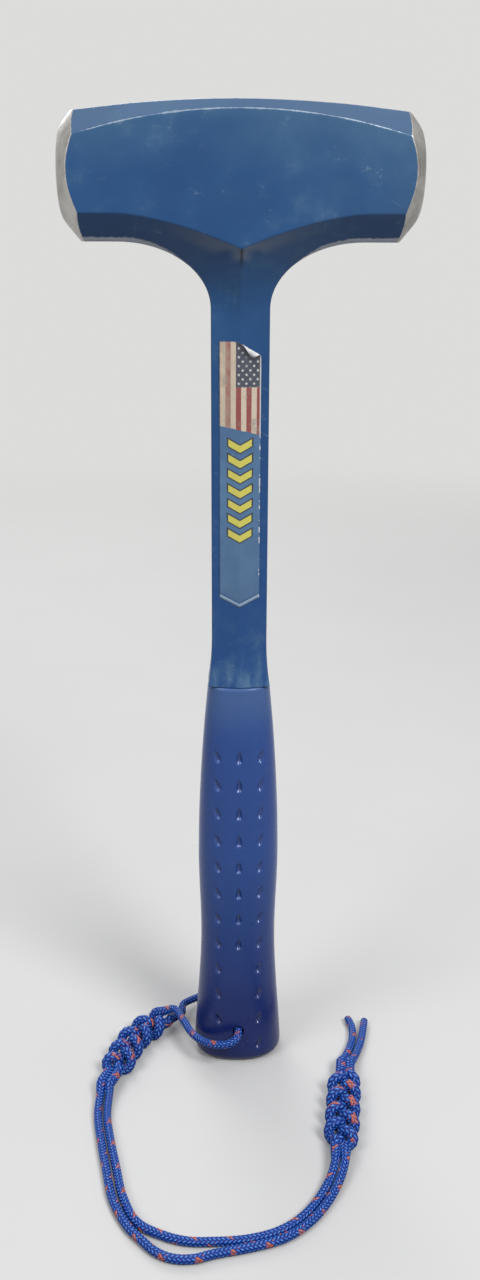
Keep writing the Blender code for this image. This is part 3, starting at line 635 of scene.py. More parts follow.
def printed_film(start):
    """Glossy label: worn stripes with a starred corner at the top, a column of plain chevrons below."""
    point = place_on(start)
    sheet = start.add("ShaderNodeUVMap", {"uv_map": "film"})
    across = coordinate(sheet, "X")
    up = coordinate(sheet, "Y")
    wear = noise(point, 260.0, detail=5.0, roughness=0.65)
    blotch = noise(point, 130.0, detail=4.0, roughness=0.6)
    ground = mix(noise(point, 60.0).ramp(0.3, 0.7), (0.055, 0.140, 0.285), (0.080, 0.190, 0.355))
    torn = (wear - 0.5) * 1.6 + across * STRIPES_FOOT_SLOPE
    striped = (up + torn).ramp(STRIPES_FOOT - WORN_EDGE, STRIPES_FOOT + WORN_EDGE)
    colour = mix(striped, ground, striped_panel(across, up, wear, blotch))
    colour = add_chevrons(colour, across, up)
    colour = add_border(colour, across, up)
    colour = mix(wear.ramp(0.58, 0.78) * 0.45, colour, (0.300, 0.370, 0.450))
    chipped = wear.ramp(0.52, 0.60) + striped * wear.ramp(0.34, 0.42)
    # White along the right edge: the film's bare chipped edge, with a painted highlight where the edge
    # catches light
    bare_edge_and_glint = across.ramp(BARE_AND_GLINT_EDGE - WORN_EDGE, BARE_AND_GLINT_EDGE + WORN_EDGE) * chipped.ramp(0.0, 0.8)
    return {
        "Base Color": mix(bare_edge_and_glint * 0.9, colour, (0.760, 0.770, 0.770)),
        "Roughness": wear * 0.25 + 0.15,
        "Normal": bump(wear, 0.00005),
        "Coat Weight": wear.ramp(0.75, 0.45) * 0.6,
        "Coat Roughness": 0.08,
    }


def film_backing(start):
    """White underside of the label with its gum."""
    gum = noise(place_on(start), 500.0, detail=4.0)
    return {
        "Base Color": mix(gum.ramp(0.35, 0.75), (0.82, 0.82, 0.80), (0.60, 0.61, 0.62)),
        "Roughness": gum * 0.3 + 0.40,
        "Normal": bump(gum, 0.00003),
    }


def yarn_crown(yarn, place, arch_turn):
    """Rounded top of a yarn, highest in the middle of its pass over two others."""
    rounding = ((place - yarn) * math.pi).maths("SINE")
    return rounding * (arch_turn.maths("SINE") * BRAID_ARCH + (1 - BRAID_ARCH))


def braided_cord(start):
    """Braided nylon: blue yarns that pass over and under, with flecks where two bright pairs cross."""
    point = place_on(start)
    sheet = start.add("ShaderNodeUVMap", {"uv_map": "braid"})
    around = coordinate(sheet, "X")
    along = coordinate(sheet, "Y")
    one_way = (around + along / BRAID_PITCH) * BRAID_STRANDS
    other_way = (around - along / BRAID_PITCH) * BRAID_STRANDS
    first = one_way.maths("FLOOR")
    second = other_way.maths("FLOOR")
    over = ((first + second) % 4.0).below(1.5)
    under = 1.0 - over
    crown = over * yarn_crown(first, one_way, (first + other_way) % 4.0 * (math.pi / 2))
    crown = crown + under * yarn_crown(second, other_way, (one_way + second) % 4.0 * (-math.pi / 2))

    # The first two yarns of one way and the fourth and fifth of the other are bright near crossings
    bright = over * (first % BRAID_STRANDS).below(1.5) + under * inside(second % BRAID_STRANDS, 2.5, 4.5)
    from_crossing = ((along / (BRAID_PITCH / 2) + 3 / BRAID_STRANDS) % 1.0 - 0.5).maths("ABSOLUTE")
    bright = bright * from_crossing.ramp(0.20, 0.38)
    fibre = noise(point, 2400.0, detail=3.0, roughness=0.6)
    patch = noise(point, 180.0, detail=2.0)
    # Painted shade and highlight: the yarns darken into the gaps between them, and pale glints are
    # painted on their crowns
    blue = mix(crown.ramp(0.15, 0.80), (0.002, 0.011, 0.110), (0.004, 0.060, 0.400))
    shine = crown.ramp(0.62, 0.98) * (fibre.ramp(0.40, 0.62) * 0.85 + 0.10)
    blue = mix(shine, blue, (0.160, 0.430, 0.850))
    fleck = mix(fibre.ramp(0.40, 0.70), (0.370, 0.060, 0.040), (0.620, 0.300, 0.245))
    shown = bright * (patch - 0.5).ramp(-0.12, 0.02) * crown.ramp(0.10, 0.40)
    return {
        "Base Color": mix(attribute(start, "melted"), mix(shown, blue, fleck), (0.006, 0.024, 0.130)),
        "Roughness": fibre * 0.3 + 0.28,
        "Normal": bump(fibre * 0.5 + crown * 0.6, 0.00010),
        "Specular IOR Level": 0.25,
    }


def seen_directly(start):
    """1 for what is seen straight on, mirrored or through glass, 0 for light on its way."""
    seen = start.add("ShaderNodeLightPath", output="Is Camera Ray")
    seen = seen + start.add("ShaderNodeLightPath", output="Is Glossy Ray")
    seen = seen + start.add("ShaderNodeLightPath", output="Is Transmission Ray")
    return seen.ramp(0.0, 1.0)


def pale_floor(start):
    """Matt pale floor that fades out into the room, and throws little light back up at the object."""
    point = place_on(start)
    x = coordinate(point, "X")
    y = coordinate(point, "Y")
    pale = mix(noise(point, 9.0, detail=2.0), (0.580, 0.577, 0.569), (0.615, 0.611, 0.603))
    distance = (x * x + y * y) ** 0.5
    return {
        "Base Color": mix(seen_directly(start), FLOOR_BOUNCE, pale),
        "Roughness": 0.9,
        "Alpha": distance.ramp(FLOOR_RADIUS, FLOOR_FADE_RADIUS),
    }


def blend(first, last, share):
    """The value a share of the way from first to last."""
    return first + (last - first) * share


def top_height(x):
    """Crowned top of the head."""
    return OVERALL_LENGTH - CROWN_RISE * min(1.0, abs(x) / FLAT_HALF_LENGTH) ** 2


def front_upper_edge_height(x):
    """Upper edge of the flat front face, an arc that nears the top in the middle."""
    share = min(1.0, abs(x) / FLAT_HALF_LENGTH) ** 2
    middle = OVERALL_LENGTH - TOP_CHAMFER_HEIGHT_MIDDLE
    return blend(middle, TOP_HEIGHT_AT_ENDS - TOP_CHAMFER_HEIGHT_END, share)


def front_lower_edge_height(x):
    """Lower edge of the flat front face, level at the ends and dipping to a point at the middle."""
    dip = max(0.0, 1.0 - abs(x) / CHIN_HALF_LENGTH) ** CHIN_POWER
    return FRONT_LOWER_EDGE_HEIGHT - CHIN_DROP * dip


def top_half_depth(x):
    """Half depth of the flat top between the two upper chamfers."""
    share = min(1.0, abs(x) / FLAT_HALF_LENGTH) ** TOP_CHAMFER_POWER
    return HEAD_HALF_DEPTH - blend(TOP_CHAMFER_DEPTH_MIDDLE, END_CHAMFER_DEPTH, share)


def crown_x(radius):
    """Distance of the crowned striking face from the middle of the head."""
    return HEAD_LENGTH / 2 - radius ** 2 / (2 * FACE_CROWN_RADIUS)


def bevel_x(radius):
    """Distance of the turned bevel round the striking face."""
    return crown_x(FACE_RADIUS) - (radius - FACE_RADIUS) * BEVEL_LENGTH_PER_RADIUS


def striking_end_x(radius):
    """Turned end of the head: crowned face and bevel with a rounded edge between them."""
    crown = crown_x(radius)
    bevel = bevel_x(radius)
    overlap = max(FACE_EDGE_BLEND - abs(crown - bevel), 0.0)
    return min(crown, bevel) - overlap ** 2 / (4 * FACE_EDGE_BLEND)


UPPER_CORNER_RISE = TOP_HEIGHT_AT_ENDS - TOP_CHAMFER_HEIGHT_END - HEAD_AXIS_HEIGHT
FLAT_HALF_LENGTH = bevel_x(math.hypot(HEAD_HALF_DEPTH, UPPER_CORNER_RISE))


def sweep_point(angle):
    """Outline of the underside's quarter-ellipse sweep; angle 0 is at the head, 90 at the shank."""
    x = SWEEP_START_X - SWEEP_LENGTH * math.sin(angle)
    z = SWEEP_END_HEIGHT + SWEEP_DROP * math.cos(angle)
    return x, z


def edge_half_thickness(angle):
    """Half thickness at the outline's edge along the sweep."""
    share = math.sin(angle) ** 2
    return blend(HEAD_HALF_DEPTH - END_CHAMFER_DEPTH, SHANK_EDGE_HALF, share)


def ridge_half_thickness(z):
    """Half thickness at the ridge below the chin point, hollowing down to the shank's."""
    share = max(0.0, 1.0 - (CHIN_HEIGHT - z) / RIDGE_BLEND_DROP) ** 2
    return blend(SHANK_RIDGE_HALF, HEAD_HALF_DEPTH, share)


def even_shares(count):
    """Shares from 0 to 1 in equal steps."""
    return [i / count for i in range(count + 1)]


def band(first, last, count, near_first=0.0, near_last=0.0):
    """Points from first to last, with one more close to an end whose edge stays crisp."""
    first = Vector(first)
    last = Vector(last)
    length = max((last - first).length, CRISP_EDGE)
    most = CRISP_STEP_SHARE / count
    shares = even_shares(count)
    if near_first:
        shares.insert(1, min(near_first / length, most))
    if near_last:
        shares.insert(-1, 1.0 - min(near_last / length, most))
    return [first.lerp(last, share) for share in shares]


def head_row(share):
    """One row of the quarter head, 0 at the striking end and 1 at the middle, top to underside."""
    x = FLAT_HALF_LENGTH * (1.0 - share)
    if share <= SWEEP_START_SHARE:
        edge_x = blend(FLAT_HALF_LENGTH, SWEEP_START_X, share / SWEEP_START_SHARE)
        edge_z = UNDERSIDE_HEIGHT
        angle = 0.0
    else:
        angle = CHIN_SWEEP_ANGLE * (share - SWEEP_START_SHARE) / (1.0 - SWEEP_START_SHARE)
        edge_x, edge_z = sweep_point(angle)
    top = top_height(x)
    top_edge = (x, -top_half_depth(x), top)
    upper_edge = (x, -HEAD_HALF_DEPTH, front_upper_edge_height(x))
    lower_edge = (x, -HEAD_HALF_DEPTH, front_lower_edge_height(x))
    edge = (edge_x, -edge_half_thickness(angle), edge_z)
    row = band((x, 0.0, top), top_edge, 3, 0.0, CRISP_EDGE)
    row += band(top_edge, upper_edge, 2, CRISP_EDGE, CRISP_EDGE)[1:]
    row += band(upper_edge, lower_edge, 6, CRISP_EDGE, CRISP_EDGE)[1:]
    row += band(lower_edge, edge, 4, CRISP_EDGE, SOFT_EDGE)[1:]
    row += band(edge, (edge_x, 0.0, edge_z), 2, SOFT_EDGE)[1:]
    carry_to_turned_end(row, share)
    return row


def carry_to_turned_end(row, share):
    """Carry a row's points out, so that the first row lies on the turned bevel."""
    fade = max(0.0, 1.0 - share / SWEEP_START_SHARE)
    for point in row:
        bevel = bevel_x(math.hypot(point.y, point.z - HEAD_AXIS_HEIGHT))
        point.x += (bevel - FLAT_HALF_LENGTH) * fade


def head_rows():
    """Rows of the quarter head from its striking end to its middle."""
    shares = even_shares(HEAD_STEPS)
    shares.insert(1, RIM_EDGE / FLAT_HALF_LENGTH)
    shares.insert(-1, 1.0 - CRISP_EDGE / FLAT_HALF_LENGTH)
    return [head_row(share) for share in shares]


def striking_end_rows(rim):
    """Rings of the turned end, from the eight-sided rim in to the face's middle."""
    rings = [rim]
    for share in FACE_SHARES:
        radius = FACE_RADIUS * share
        ring = []
        for point in rim:
            outward = Vector((0.0, point.y, point.z - HEAD_AXIS_HEIGHT)).normalized() * radius
            ring.append(Vector((striking_end_x(radius), outward.y, HEAD_AXIS_HEIGHT + outward.z)))
        rings.append(ring)
    rings.append([Vector((HEAD_LENGTH / 2, 0.0, HEAD_AXIS_HEIGHT))] * len(rim))
    pairs = zip(rim, rings[1])
    rings.insert(1, [blend(point, inner, RIM_EDGE / (inner - point).length) for point, inner in pairs])
    return rings


def handle_row(ridge_z, ridge_half, edge_x, edge_half, edge_z):
    """One row of the handle: from the front ridge to the edge, then round to the side's middle."""
    edge = (edge_x, -edge_half, edge_z)
    row = band((0.0, -ridge_half, ridge_z), edge, 4, CRISP_EDGE, SOFT_EDGE)
    return row + band(edge, (edge_x, 0.0, edge_z), 2, SOFT_EDGE)[1:]


def handle_rows():
    """Rows of the quarter handle from the chin point down the sweep, shank, collar and tang."""
    rows = []
    for share in (0.0, SWEEP_FIRST_SHARE, *even_shares(SWEEP_STEPS)[1:]):
        angle = blend(CHIN_SWEEP_ANGLE, math.pi / 2, share)
        edge_x, edge_z = sweep_point(angle)
        z = blend(CHIN_HEIGHT, SWEEP_END_HEIGHT, share)
        rows.append(handle_row(z, ridge_half_thickness(z), edge_x, edge_half_thickness(angle), edge_z))
    neck = np.linspace(SWEEP_END_HEIGHT, RIDGE_BLEND_END, NECK_STEPS + 1)[1:]
    shank = np.linspace(RIDGE_BLEND_END, COLLAR_TOP_HEIGHT, SHANK_STEPS + 1)[1:-1]
    for z in (*neck, *shank):
        rows.append(handle_row(z, ridge_half_thickness(z), SHANK_HALF_WIDTH, SHANK_EDGE_HALF, z))
    for share in COLLAR_SHARES:
        z = blend(COLLAR_TOP_HEIGHT, COLLAR_FOOT_HEIGHT, share)
        swell = share ** 2
        ridge_half = blend(SHANK_RIDGE_HALF, COLLAR_RIDGE_HALF, swell)
        edge_x = blend(SHANK_HALF_WIDTH, COLLAR_HALF_WIDTH, swell)
        rows.append(handle_row(z, ridge_half, edge_x, blend(SHANK_EDGE_HALF, COLLAR_EDGE_HALF, swell), z))
    tang_top = (COLLAR_FOOT_HEIGHT, COLLAR_FOOT_HEIGHT - SOFT_EDGE)
    tang_end = (TANG_END_HEIGHT + SOFT_EDGE, TANG_END_HEIGHT)
    for z in (*tang_top, *tang_end):
        rows.append(handle_row(z, TANG_HALF_THICKNESS, TANG_HALF_WIDTH, TANG_HALF_THICKNESS, z))
    rows.append([Vector((0.0, 0.0, TANG_END_HEIGHT))] * len(rows[-1]))
    return rows


def add_mirrored_rows(bm, rows):
    """Skin a quarter grid of points, mirrored to the other end and to the back."""
    for side_x in (1, -1):
        for side_y in (1, -1):
            corners = [[bm.verts.new((p.x * side_x, p.y * side_y, p.z)) for p in row] for row in rows]
            for near, far in zip(corners, corners[1:]):
                for i in range(len(near) - 1):
                    add_face(bm, (near[i], near[i + 1], far[i + 1], far[i]))


def add_face(bm, corners):
    """Add a face, leaving out corners that fall on each other."""
    kept = []
    for corner in corners:
        if all((corner.co - other.co).length > SAME_POINT for other in kept):
            kept.append(corner)
    if len(kept) > 2:
        bm.faces.new(kept)


def add_object(name, data):
    """Put a mesh, lamp or camera into the scene."""
    holder = bpy.data.objects.new(name, data)
    bpy.context.scene.collection.objects.link(holder)
    return holder


def new_piece(mesh, *materials):
    """Put a mesh into the scene under its own name, with its materials."""
    for material in materials:
        mesh.materials.append(material)
    return add_object(mesh.name, mesh)


def mesh_from(bm, name):
    """Close a bmesh into a mesh of that name."""
    mesh = bpy.data.meshes.new(name)
    bm.to_mesh(mesh)
    bm.free()
    return mesh


def mesh_over(name, points, faces):
    """A mesh of that name from arrays of points and lists of corners."""
    mesh = bpy.data.meshes.new(name)
    mesh.from_pydata(points.reshape(-1, 3).tolist(), [], faces)
    return mesh


def ring_mesh(name, points):
    """A closed skin over rings of points: each ring joined to the next, and the end rings filled."""
    rings, sides = points.shape[:2]
    corner = np.arange(rings * sides).reshape(rings, sides)
    beside = np.roll(corner, -1, axis=1)
    walls = np.stack([corner[:-1], beside[:-1], beside[1:], corner[1:]], axis=2).reshape(-1, 4)
    ends = [corner[0, ::-1].tolist(), corner[-1].tolist()]
    return mesh_over(name, points, walls.tolist() + ends)


def store(mesh, name, values):
    """Keep a number for each point of a mesh, for its material."""
    mesh.attributes.new(name, "FLOAT", "POINT").data.foreach_set("value", values)


def edge_rub(vert):
    """How rubbed the paint is: nothing on a smooth stretch, most on the head's hard upper edges."""
    turn = max(edge.calc_face_angle(0.0) for edge in vert.link_edges)
    sharpness = min(1.0, max(0.0, turn - WEAR_LEAST_TURN) / WEAR_TURN_RANGE)
    if vert.co.z > HEAD_AXIS_HEIGHT and abs(vert.co.x) < FLAT_HALF_LENGTH - CRISP_EDGE:
        return sharpness * (1.0 - UPPER_EDGE_EASE * (vert.co.x / FLAT_HALF_LENGTH) ** 2)
    return sharpness * (HEAD_EDGE_WEAR if vert.co.z > SWEEP_END_HEIGHT else SHANK_EDGE_WEAR)


def bare_steel(vert):
    """1 on the ground striking ends, 0 on paint."""
    end = striking_end_x(math.hypot(vert.co.y, vert.co.z - HEAD_AXIS_HEIGHT))
    on_head = vert.co.z > UNDERSIDE_HEIGHT - CRISP_EDGE
    return float(on_head and abs(vert.co.x) > end - STEEL_TOLERANCE)


def trimmed_edge(vert):
    """Strength of the painted highlight band under the front's pointed lower edge, where its rounding
    catches light.
    """
    below = front_lower_edge_height(vert.co.x) - vert.co.z
    fade = max(0.0, 1.0 - abs(vert.co.x) / HIGHLIGHT_BAND_HALF_LENGTH)
    return fade if HIGHLIGHT_BAND_TOP < below < HIGHLIGHT_BAND_FOOT and abs(vert.co.y) > SHANK_RIDGE_HALF else 0.0


def chin_crease(vert):
    """1 along the short crease that runs down from the front's lowest point, cut in and painted with
    near-black shade.
    """
    below = CHIN_HEIGHT - vert.co.z
    on_ridge = abs(vert.co.x) < CREASE_HALF_WIDTH and abs(vert.co.y) > SHANK_RIDGE_HALF
    return float(on_ridge and CREASE_START < below < CREASE_LENGTH)


def underside_rub(vert):
    """Strength of the rubbed strip along the head's lower edges, paled further as a painted highlight,
    fading out down the sweep.
    """
    reach = min(1.0, max(0.0, (SWEEP_START_X - abs(vert.co.x)) / SWEEP_LENGTH))
    angle = math.asin(reach)
    rise = max(0.0, vert.co.z - sweep_point(angle)[1])
    inward = max(0.0, edge_half_thickness(angle) - abs(vert.co.y))
    fade = min(1.0, max(0.0, abs(vert.co.x) - RUB_AND_HIGHLIGHT_END_X) / RUB_AND_HIGHLIGHT_FADE)
    return fade * max(0.0, 1.0 - (rise + inward) / RUB_AND_HIGHLIGHT_HEIGHT)


FORGING_MARKS = (edge_rub, bare_steel, trimmed_edge, chin_crease, underside_rub)


def painted_forging():
    """Head, shank, collar and tang as one forging with its edges rounded."""
    bm = bmesh.new()
    head = head_rows()
    for rows in (head, striking_end_rows(head[0]), handle_rows()):
        add_mirrored_rows(bm, rows)
    bmesh.ops.remove_doubles(bm, verts=bm.verts, dist=2 * SAME_POINT)
    bmesh.ops.recalc_face_normals(bm, faces=bm.faces)
    marks = {mark.__name__: [mark(vert) for vert in bm.verts] for mark in FORGING_MARKS}
    for vert, crease in zip(bm.verts, marks["chin_crease"]):
        vert.co.y -= math.copysign(CREASE_DEPTH * crease, vert.co.y)
    mesh = mesh_from(bm, "painted_forging")
    for name, values in marks.items():
        store(mesh, name, values)
    mesh.shade_smooth()
    piece = new_piece(mesh, finish(painted_steel))
    rounding = piece.modifiers.new("rounded_edges", "SUBSURF")
    rounding.levels = ROUNDING_LEVELS
    rounding.render_levels = ROUNDING_LEVELS
    return piece


def smooth_value(heights, values, z):
    """Smooth curve through values at rising heights."""
    slopes = np.gradient(values, heights)
    i = int(np.clip(np.searchsorted(heights, z) - 1, 0, len(heights) - 2))
    span = heights[i + 1] - heights[i]
    t = min(max((z - heights[i]) / span, 0.0), 1.0)
    first = (2 * t ** 3 - 3 * t ** 2 + 1) * values[i] + (t ** 3 - 2 * t ** 2 + t) * span * slopes[i]
    last = (3 * t ** 2 - 2 * t ** 3) * values[i + 1] + (t ** 3 - t ** 2) * span * slopes[i + 1]
    return first + last


def grip_section(z):
    """Half width and half depth of the grip at a height."""
    heights, widths, depths = (np.array(column) for column in zip(*GRIP_STATIONS))
    return smooth_value(heights, widths, z), smooth_value(heights, depths, z)


HOLE_MOUTH = grip_section(HOLE_HEIGHT)[1]


def grip_levels():
    """Height, half width and half depth of each ring of the grip, from the butt up to its lip."""
    levels = []
    for angle in np.linspace(0.0, math.pi / 2, BUTT_EDGE_RINGS + 1)[:-1]:
        inset = BUTT_EDGE_RADIUS * (1 - math.sin(angle))
        z = BUTT_EDGE_RADIUS * (1 - math.cos(angle))
        levels.append((z, BUTT_WIDTH / 2 - inset, BUTT_DEPTH / 2 - inset))
    foot = GRIP_STATIONS[0][0]
    top = COLLAR_FOOT_HEIGHT - GRIP_SEAT_GAP
    for z in np.linspace(foot, top - GRIP_LIP_HEIGHT, GRIP_RINGS):
        levels.append((z, *grip_section(z)))
    for angle in np.linspace(0.0, math.pi / 2, GRIP_LIP_RINGS + 1)[1:]:
        inset = GRIP_LIP_WIDTH * (1 - math.cos(angle))
        z = top - GRIP_LIP_HEIGHT * (1 - math.sin(angle))
        half_width, half_depth = grip_section(z)
        levels.append((z, half_width - inset, half_depth - inset))
    return np.array(levels)


def grip_angles():
    """Directions round the grip, closer together on its dimpled front and back."""
    quarter = math.pi / 2
    dense = np.linspace(-quarter / 2, quarter / 2, DIMPLED_SIDES, endpoint=False)
    sparse = np.linspace(-quarter / 2, quarter / 2, PLAIN_SIDES, endpoint=False)
    return np.concatenate([sparse, dense + quarter, sparse + 2 * quarter, dense + 3 * quarter])


def dimple_places():
    """Middle of each dimple, across and up, with the side that its top leans to."""
    for row in range(DIMPLE_SIDE_ROWS + 1):
        z = DIMPLE_TOP_HEIGHT - DIMPLE_PITCH * row
        if row < DIMPLE_FULL_ROWS:
            yield 0.0, z, 0
        if row < DIMPLE_SIDE_ROWS:
            yield -DIMPLE_COLUMN, z, -1
        yield DIMPLE_COLUMN, z, 1


def dimple_depth(x, y, z):
    """Depth of the moulded dimples at points of the grip's front and back.

    Each is a drop shape: narrow at its top, deepest below its middle, with a steep lower wall.
    """
    depth = np.zeros_like(x)
    for middle, height, lean in dimple_places():
        tilt = lean * DIMPLE_TILT
        across = (x - middle) * math.cos(tilt) - (z - height) * math.sin(tilt)
        up = ((x - middle) * math.sin(tilt) + (z - height) * math.cos(tilt)) / DIMPLE_HALF_LENGTH
        reach = np.where(up > DIMPLE_LOWEST, 1.0 - DIMPLE_LOWEST, 1.0 + DIMPLE_LOWEST)
        half_width = DIMPLE_HALF_WIDTH * (1.0 - DIMPLE_NARROWING * up)
        spread = 1.0 - (across / half_width) ** 2 - ((up - DIMPLE_LOWEST) / reach) ** 2
        depth = np.maximum(depth, DIMPLE_DEPTH * np.clip(spread, 0.0, 1.0))
    return depth * (np.abs(y) > DIMPLED_FROM_Y)


def grip_skin():
    """The grip's outside as a mesh, with its dimples, closed at both ends."""
    z, half_width, half_depth = (column[:, None] for column in grip_levels().T)
    angles = grip_angles()
    c = np.cos(angles)
    s = np.sin(angles)
    reach = (np.abs(c) ** GRIP_SQUARENESS + np.abs(s) ** GRIP_SQUARENESS) ** (-1 / GRIP_SQUARENESS)
    x = half_width * reach * c
    y = half_depth * reach * s
    z = np.broadcast_to(z, x.shape)
    out_x = np.sign(x) * np.abs(x / half_width) ** (GRIP_SQUARENESS - 1) / half_width
    out_y = np.sign(y) * np.abs(y / half_depth) ** (GRIP_SQUARENESS - 1) / half_depth
    size = np.hypot(out_x, out_y)
    depth = dimple_depth(x, y, z)
    points = np.stack([x - depth * out_x / size, y - depth * out_y / size, z], axis=2)
    mesh = ring_mesh("dimpled_grip", points)
    store(mesh, "dimple", depth.ravel() / DIMPLE_DEPTH)
    return mesh


def tang_socket_cutter():
    """The tang with its clearance, open past the grip's top."""
    x = TANG_HALF_WIDTH + CLEARANCE
    y = TANG_HALF_THICKNESS + CLEARANCE
    corners = ((x, y), (-x, y), (-x, -y), (x, -y))
    heights = (TANG_END_HEIGHT - CLEARANCE, COLLAR_TOP_HEIGHT)
    return cutter("tang_socket_cutter", [[(*corner, z) for corner in corners] for z in heights])


def lanyard_hole_cutter():
    """The lanyard hole, front to back through the butt, with softened mouths."""
    stations = [(HOLE_OVERRUN * HOLE_MOUTH, HOLE_RADIUS + HOLE_FLARE)]
    for turn in np.linspace(1.0, 0.0, HOLE_FLARE_RINGS):
        flare = HOLE_FLARE * (1 - math.sqrt(1 - turn ** 2))
        stations.append((HOLE_MOUTH - HOLE_FLARE * (1 - turn), HOLE_RADIUS + flare))
    stations = [(-y, radius) for y, radius in stations] + stations[::-1]
    turns = [2 * math.pi * i / HOLE_SIDES for i in range(HOLE_SIDES)]
    rings = []
    for y, radius in stations:
        rings.append([(radius * math.sin(t), y, HOLE_HEIGHT + radius * math.cos(t)) for t in turns])
    return cutter("lanyard_hole_cutter", rings)


def cutter(name, rings):
    """A hidden cutting body over rings of points."""
    tool = new_piece(ring_mesh(name, np.array(rings)))
    tool.hide_render = True
    return tool


def dimpled_grip():
    """Moulded sleeve with its dimples, tang socket and lanyard hole."""
    piece = new_piece(grip_skin(), finish(blue_vinyl))
    tools = [tang_socket_cutter(), lanyard_hole_cutter()]
    for tool in tools:
        cut = piece.modifiers.new(tool.name, "BOOLEAN")
        cut.operation = "DIFFERENCE"
        cut.solver = "EXACT"
        cut.object = tool
    graph = bpy.context.evaluated_depsgraph_get()
    solid = bpy.data.meshes.new_from_object(piece.evaluated_get(graph))
    piece.modifiers.clear()
    piece.data = solid
    for tool in tools:
        bpy.data.objects.remove(tool, do_unlink=True)
    solid.shade_smooth()
    solid.set_sharp_from_angle(angle=GRIP_SHARP_ANGLE)
    return piece


def shank_front_y(x):
    """Depth of the shank's ridged front."""
    return -blend(SHANK_RIDGE_HALF, SHANK_EDGE_HALF, abs(x) / SHANK_HALF_WIDTH)


def film_point(x, z):
    """Where a point of the flat label lies: on the shank, or rolled up at its loose corner."""
    corner = Vector((LABEL_HALF_WIDTH, 0.0, LABEL_TOP))
    point = Vector((x, shank_front_y(x) - FILM_GAP, z))
    loose = max(0.0, abs(x) / LABEL_HALF_WIDTH - RIPPLE_START) / (1 - RIPPLE_START)
    point.y -= RIPPLE_HEIGHT * loose * (1 + math.sin(z * RIPPLE_TURNS))
    past = (Vector((x, 0.0, z)) - corner).dot(CURL_DIRECTION) + CURL_REACH
    if past > 0.0:
        turn = past / CURL_RADIUS
        point += CURL_DIRECTION * (CURL_RADIUS * math.sin(turn) - past)
        point.y -= CURL_RADIUS * (1 - math.cos(turn))
    return point


def flat_film():
    """Points of the label before it is laid on, in columns from left to right: across, and height."""
    columns = []
    for share in even_shares(LABEL_COLUMNS):
        x = blend(-LABEL_HALF_WIDTH, LABEL_HALF_WIDTH, share)
        foot = LABEL_TIP + LABEL_POINT_LENGTH * abs(x) / LABEL_HALF_WIDTH
        rises = [1 - (1 - rise) ** LABEL_ROW_POWER for rise in even_shares(LABEL_ROWS)]
        columns.append([(x, blend(foot, LABEL_TOP, rise)) for rise in rises])
    return np.array(columns)


def printed_label():
    """Thin film on the shank's front, pointed below, with its top right corner curled away."""
    flat = flat_film()
    corner = np.arange(flat.shape[0] * flat.shape[1]).reshape(flat.shape[:2])
    faces = np.stack([corner[:-1, :-1], corner[1:, :-1], corner[1:, 1:], corner[:-1, 1:]], axis=2)
    flat = flat.reshape(-1, 2)
    points = np.array([film_point(x, z) for x, z in flat.tolist()])
    mesh = mesh_over("printed_label", points, faces.reshape(-1, 4).tolist())
    print_place = (flat - (0.0, LABEL_TIP)) * MILLIMETRES
    mesh.uv_layers.new(name="film").data.foreach_set("uv", print_place[faces.ravel()].ravel())
    mesh.shade_smooth()
    piece = new_piece(mesh, finish(printed_film), finish(film_backing))
    thick = piece.modifiers.new("film_thickness", "SOLIDIFY")
    thick.thickness = FILM_THICKNESS
    thick.offset = 1.0
    thick.material_offset = 1
    return piece


def between(first, last, start, end, t):
    """The point at t on a line that passes first at start and last at end."""
    return (first * (end - t) + last * (t - start)) / (end - start)


def smooth_line(points):
    """A dense smooth line through the given points, and the distance along it."""
    points = [np.array(p, dtype=float) for p in points]
    padded = [2 * points[0] - points[1], *points, 2 * points[-1] - points[-2]]
    dense = []
    for a, b, c, d in zip(padded, padded[1:], padded[2:], padded[3:]):
        steps = [math.sqrt(np.linalg.norm(step)) for step in (b - a, c - b, d - c)]
        k = np.cumsum([0.0, *steps])
        for t in np.linspace(k[1], k[2], LINE_STEPS, endpoint=False):
            ab = between(a, b, k[0], k[1], t)
            bc = between(b, c, k[1], k[2], t)
            cd = between(c, d, k[2], k[3], t)
            abc = between(ab, bc, k[0], k[2], t)
            bcd = between(bc, cd, k[1], k[3], t)
            dense.append(between(abc, bcd, k[1], k[2], t))
    line = np.array([*dense, points[-1]])
    travel = np.concatenate([[0.0], np.cumsum(np.linalg.norm(np.diff(line, axis=0), axis=1))])
    return line, travel


def knot_frame(axis):
    """A function that gives the point, heading and side direction along a knot's axis."""
    line, travel = smooth_line([(x, y, KNOT_AXIS_HEIGHT) for x, y in axis])
    headings = np.gradient(line, travel, axis=0)

    def at(distance):
        inside_knot = min(max(distance, 0.0), travel[-1])
        point = np.array([np.interp(inside_knot, travel, line[:, i]) for i in range(3)])
        heading = np.array([np.interp(inside_knot, travel, headings[:, i]) for i in range(3)])
        heading /= np.linalg.norm(heading)
        point = point + heading * (distance - inside_knot)
        return point, heading, np.array((-heading[1], heading[0], 0.0))

    return at, travel[-1]


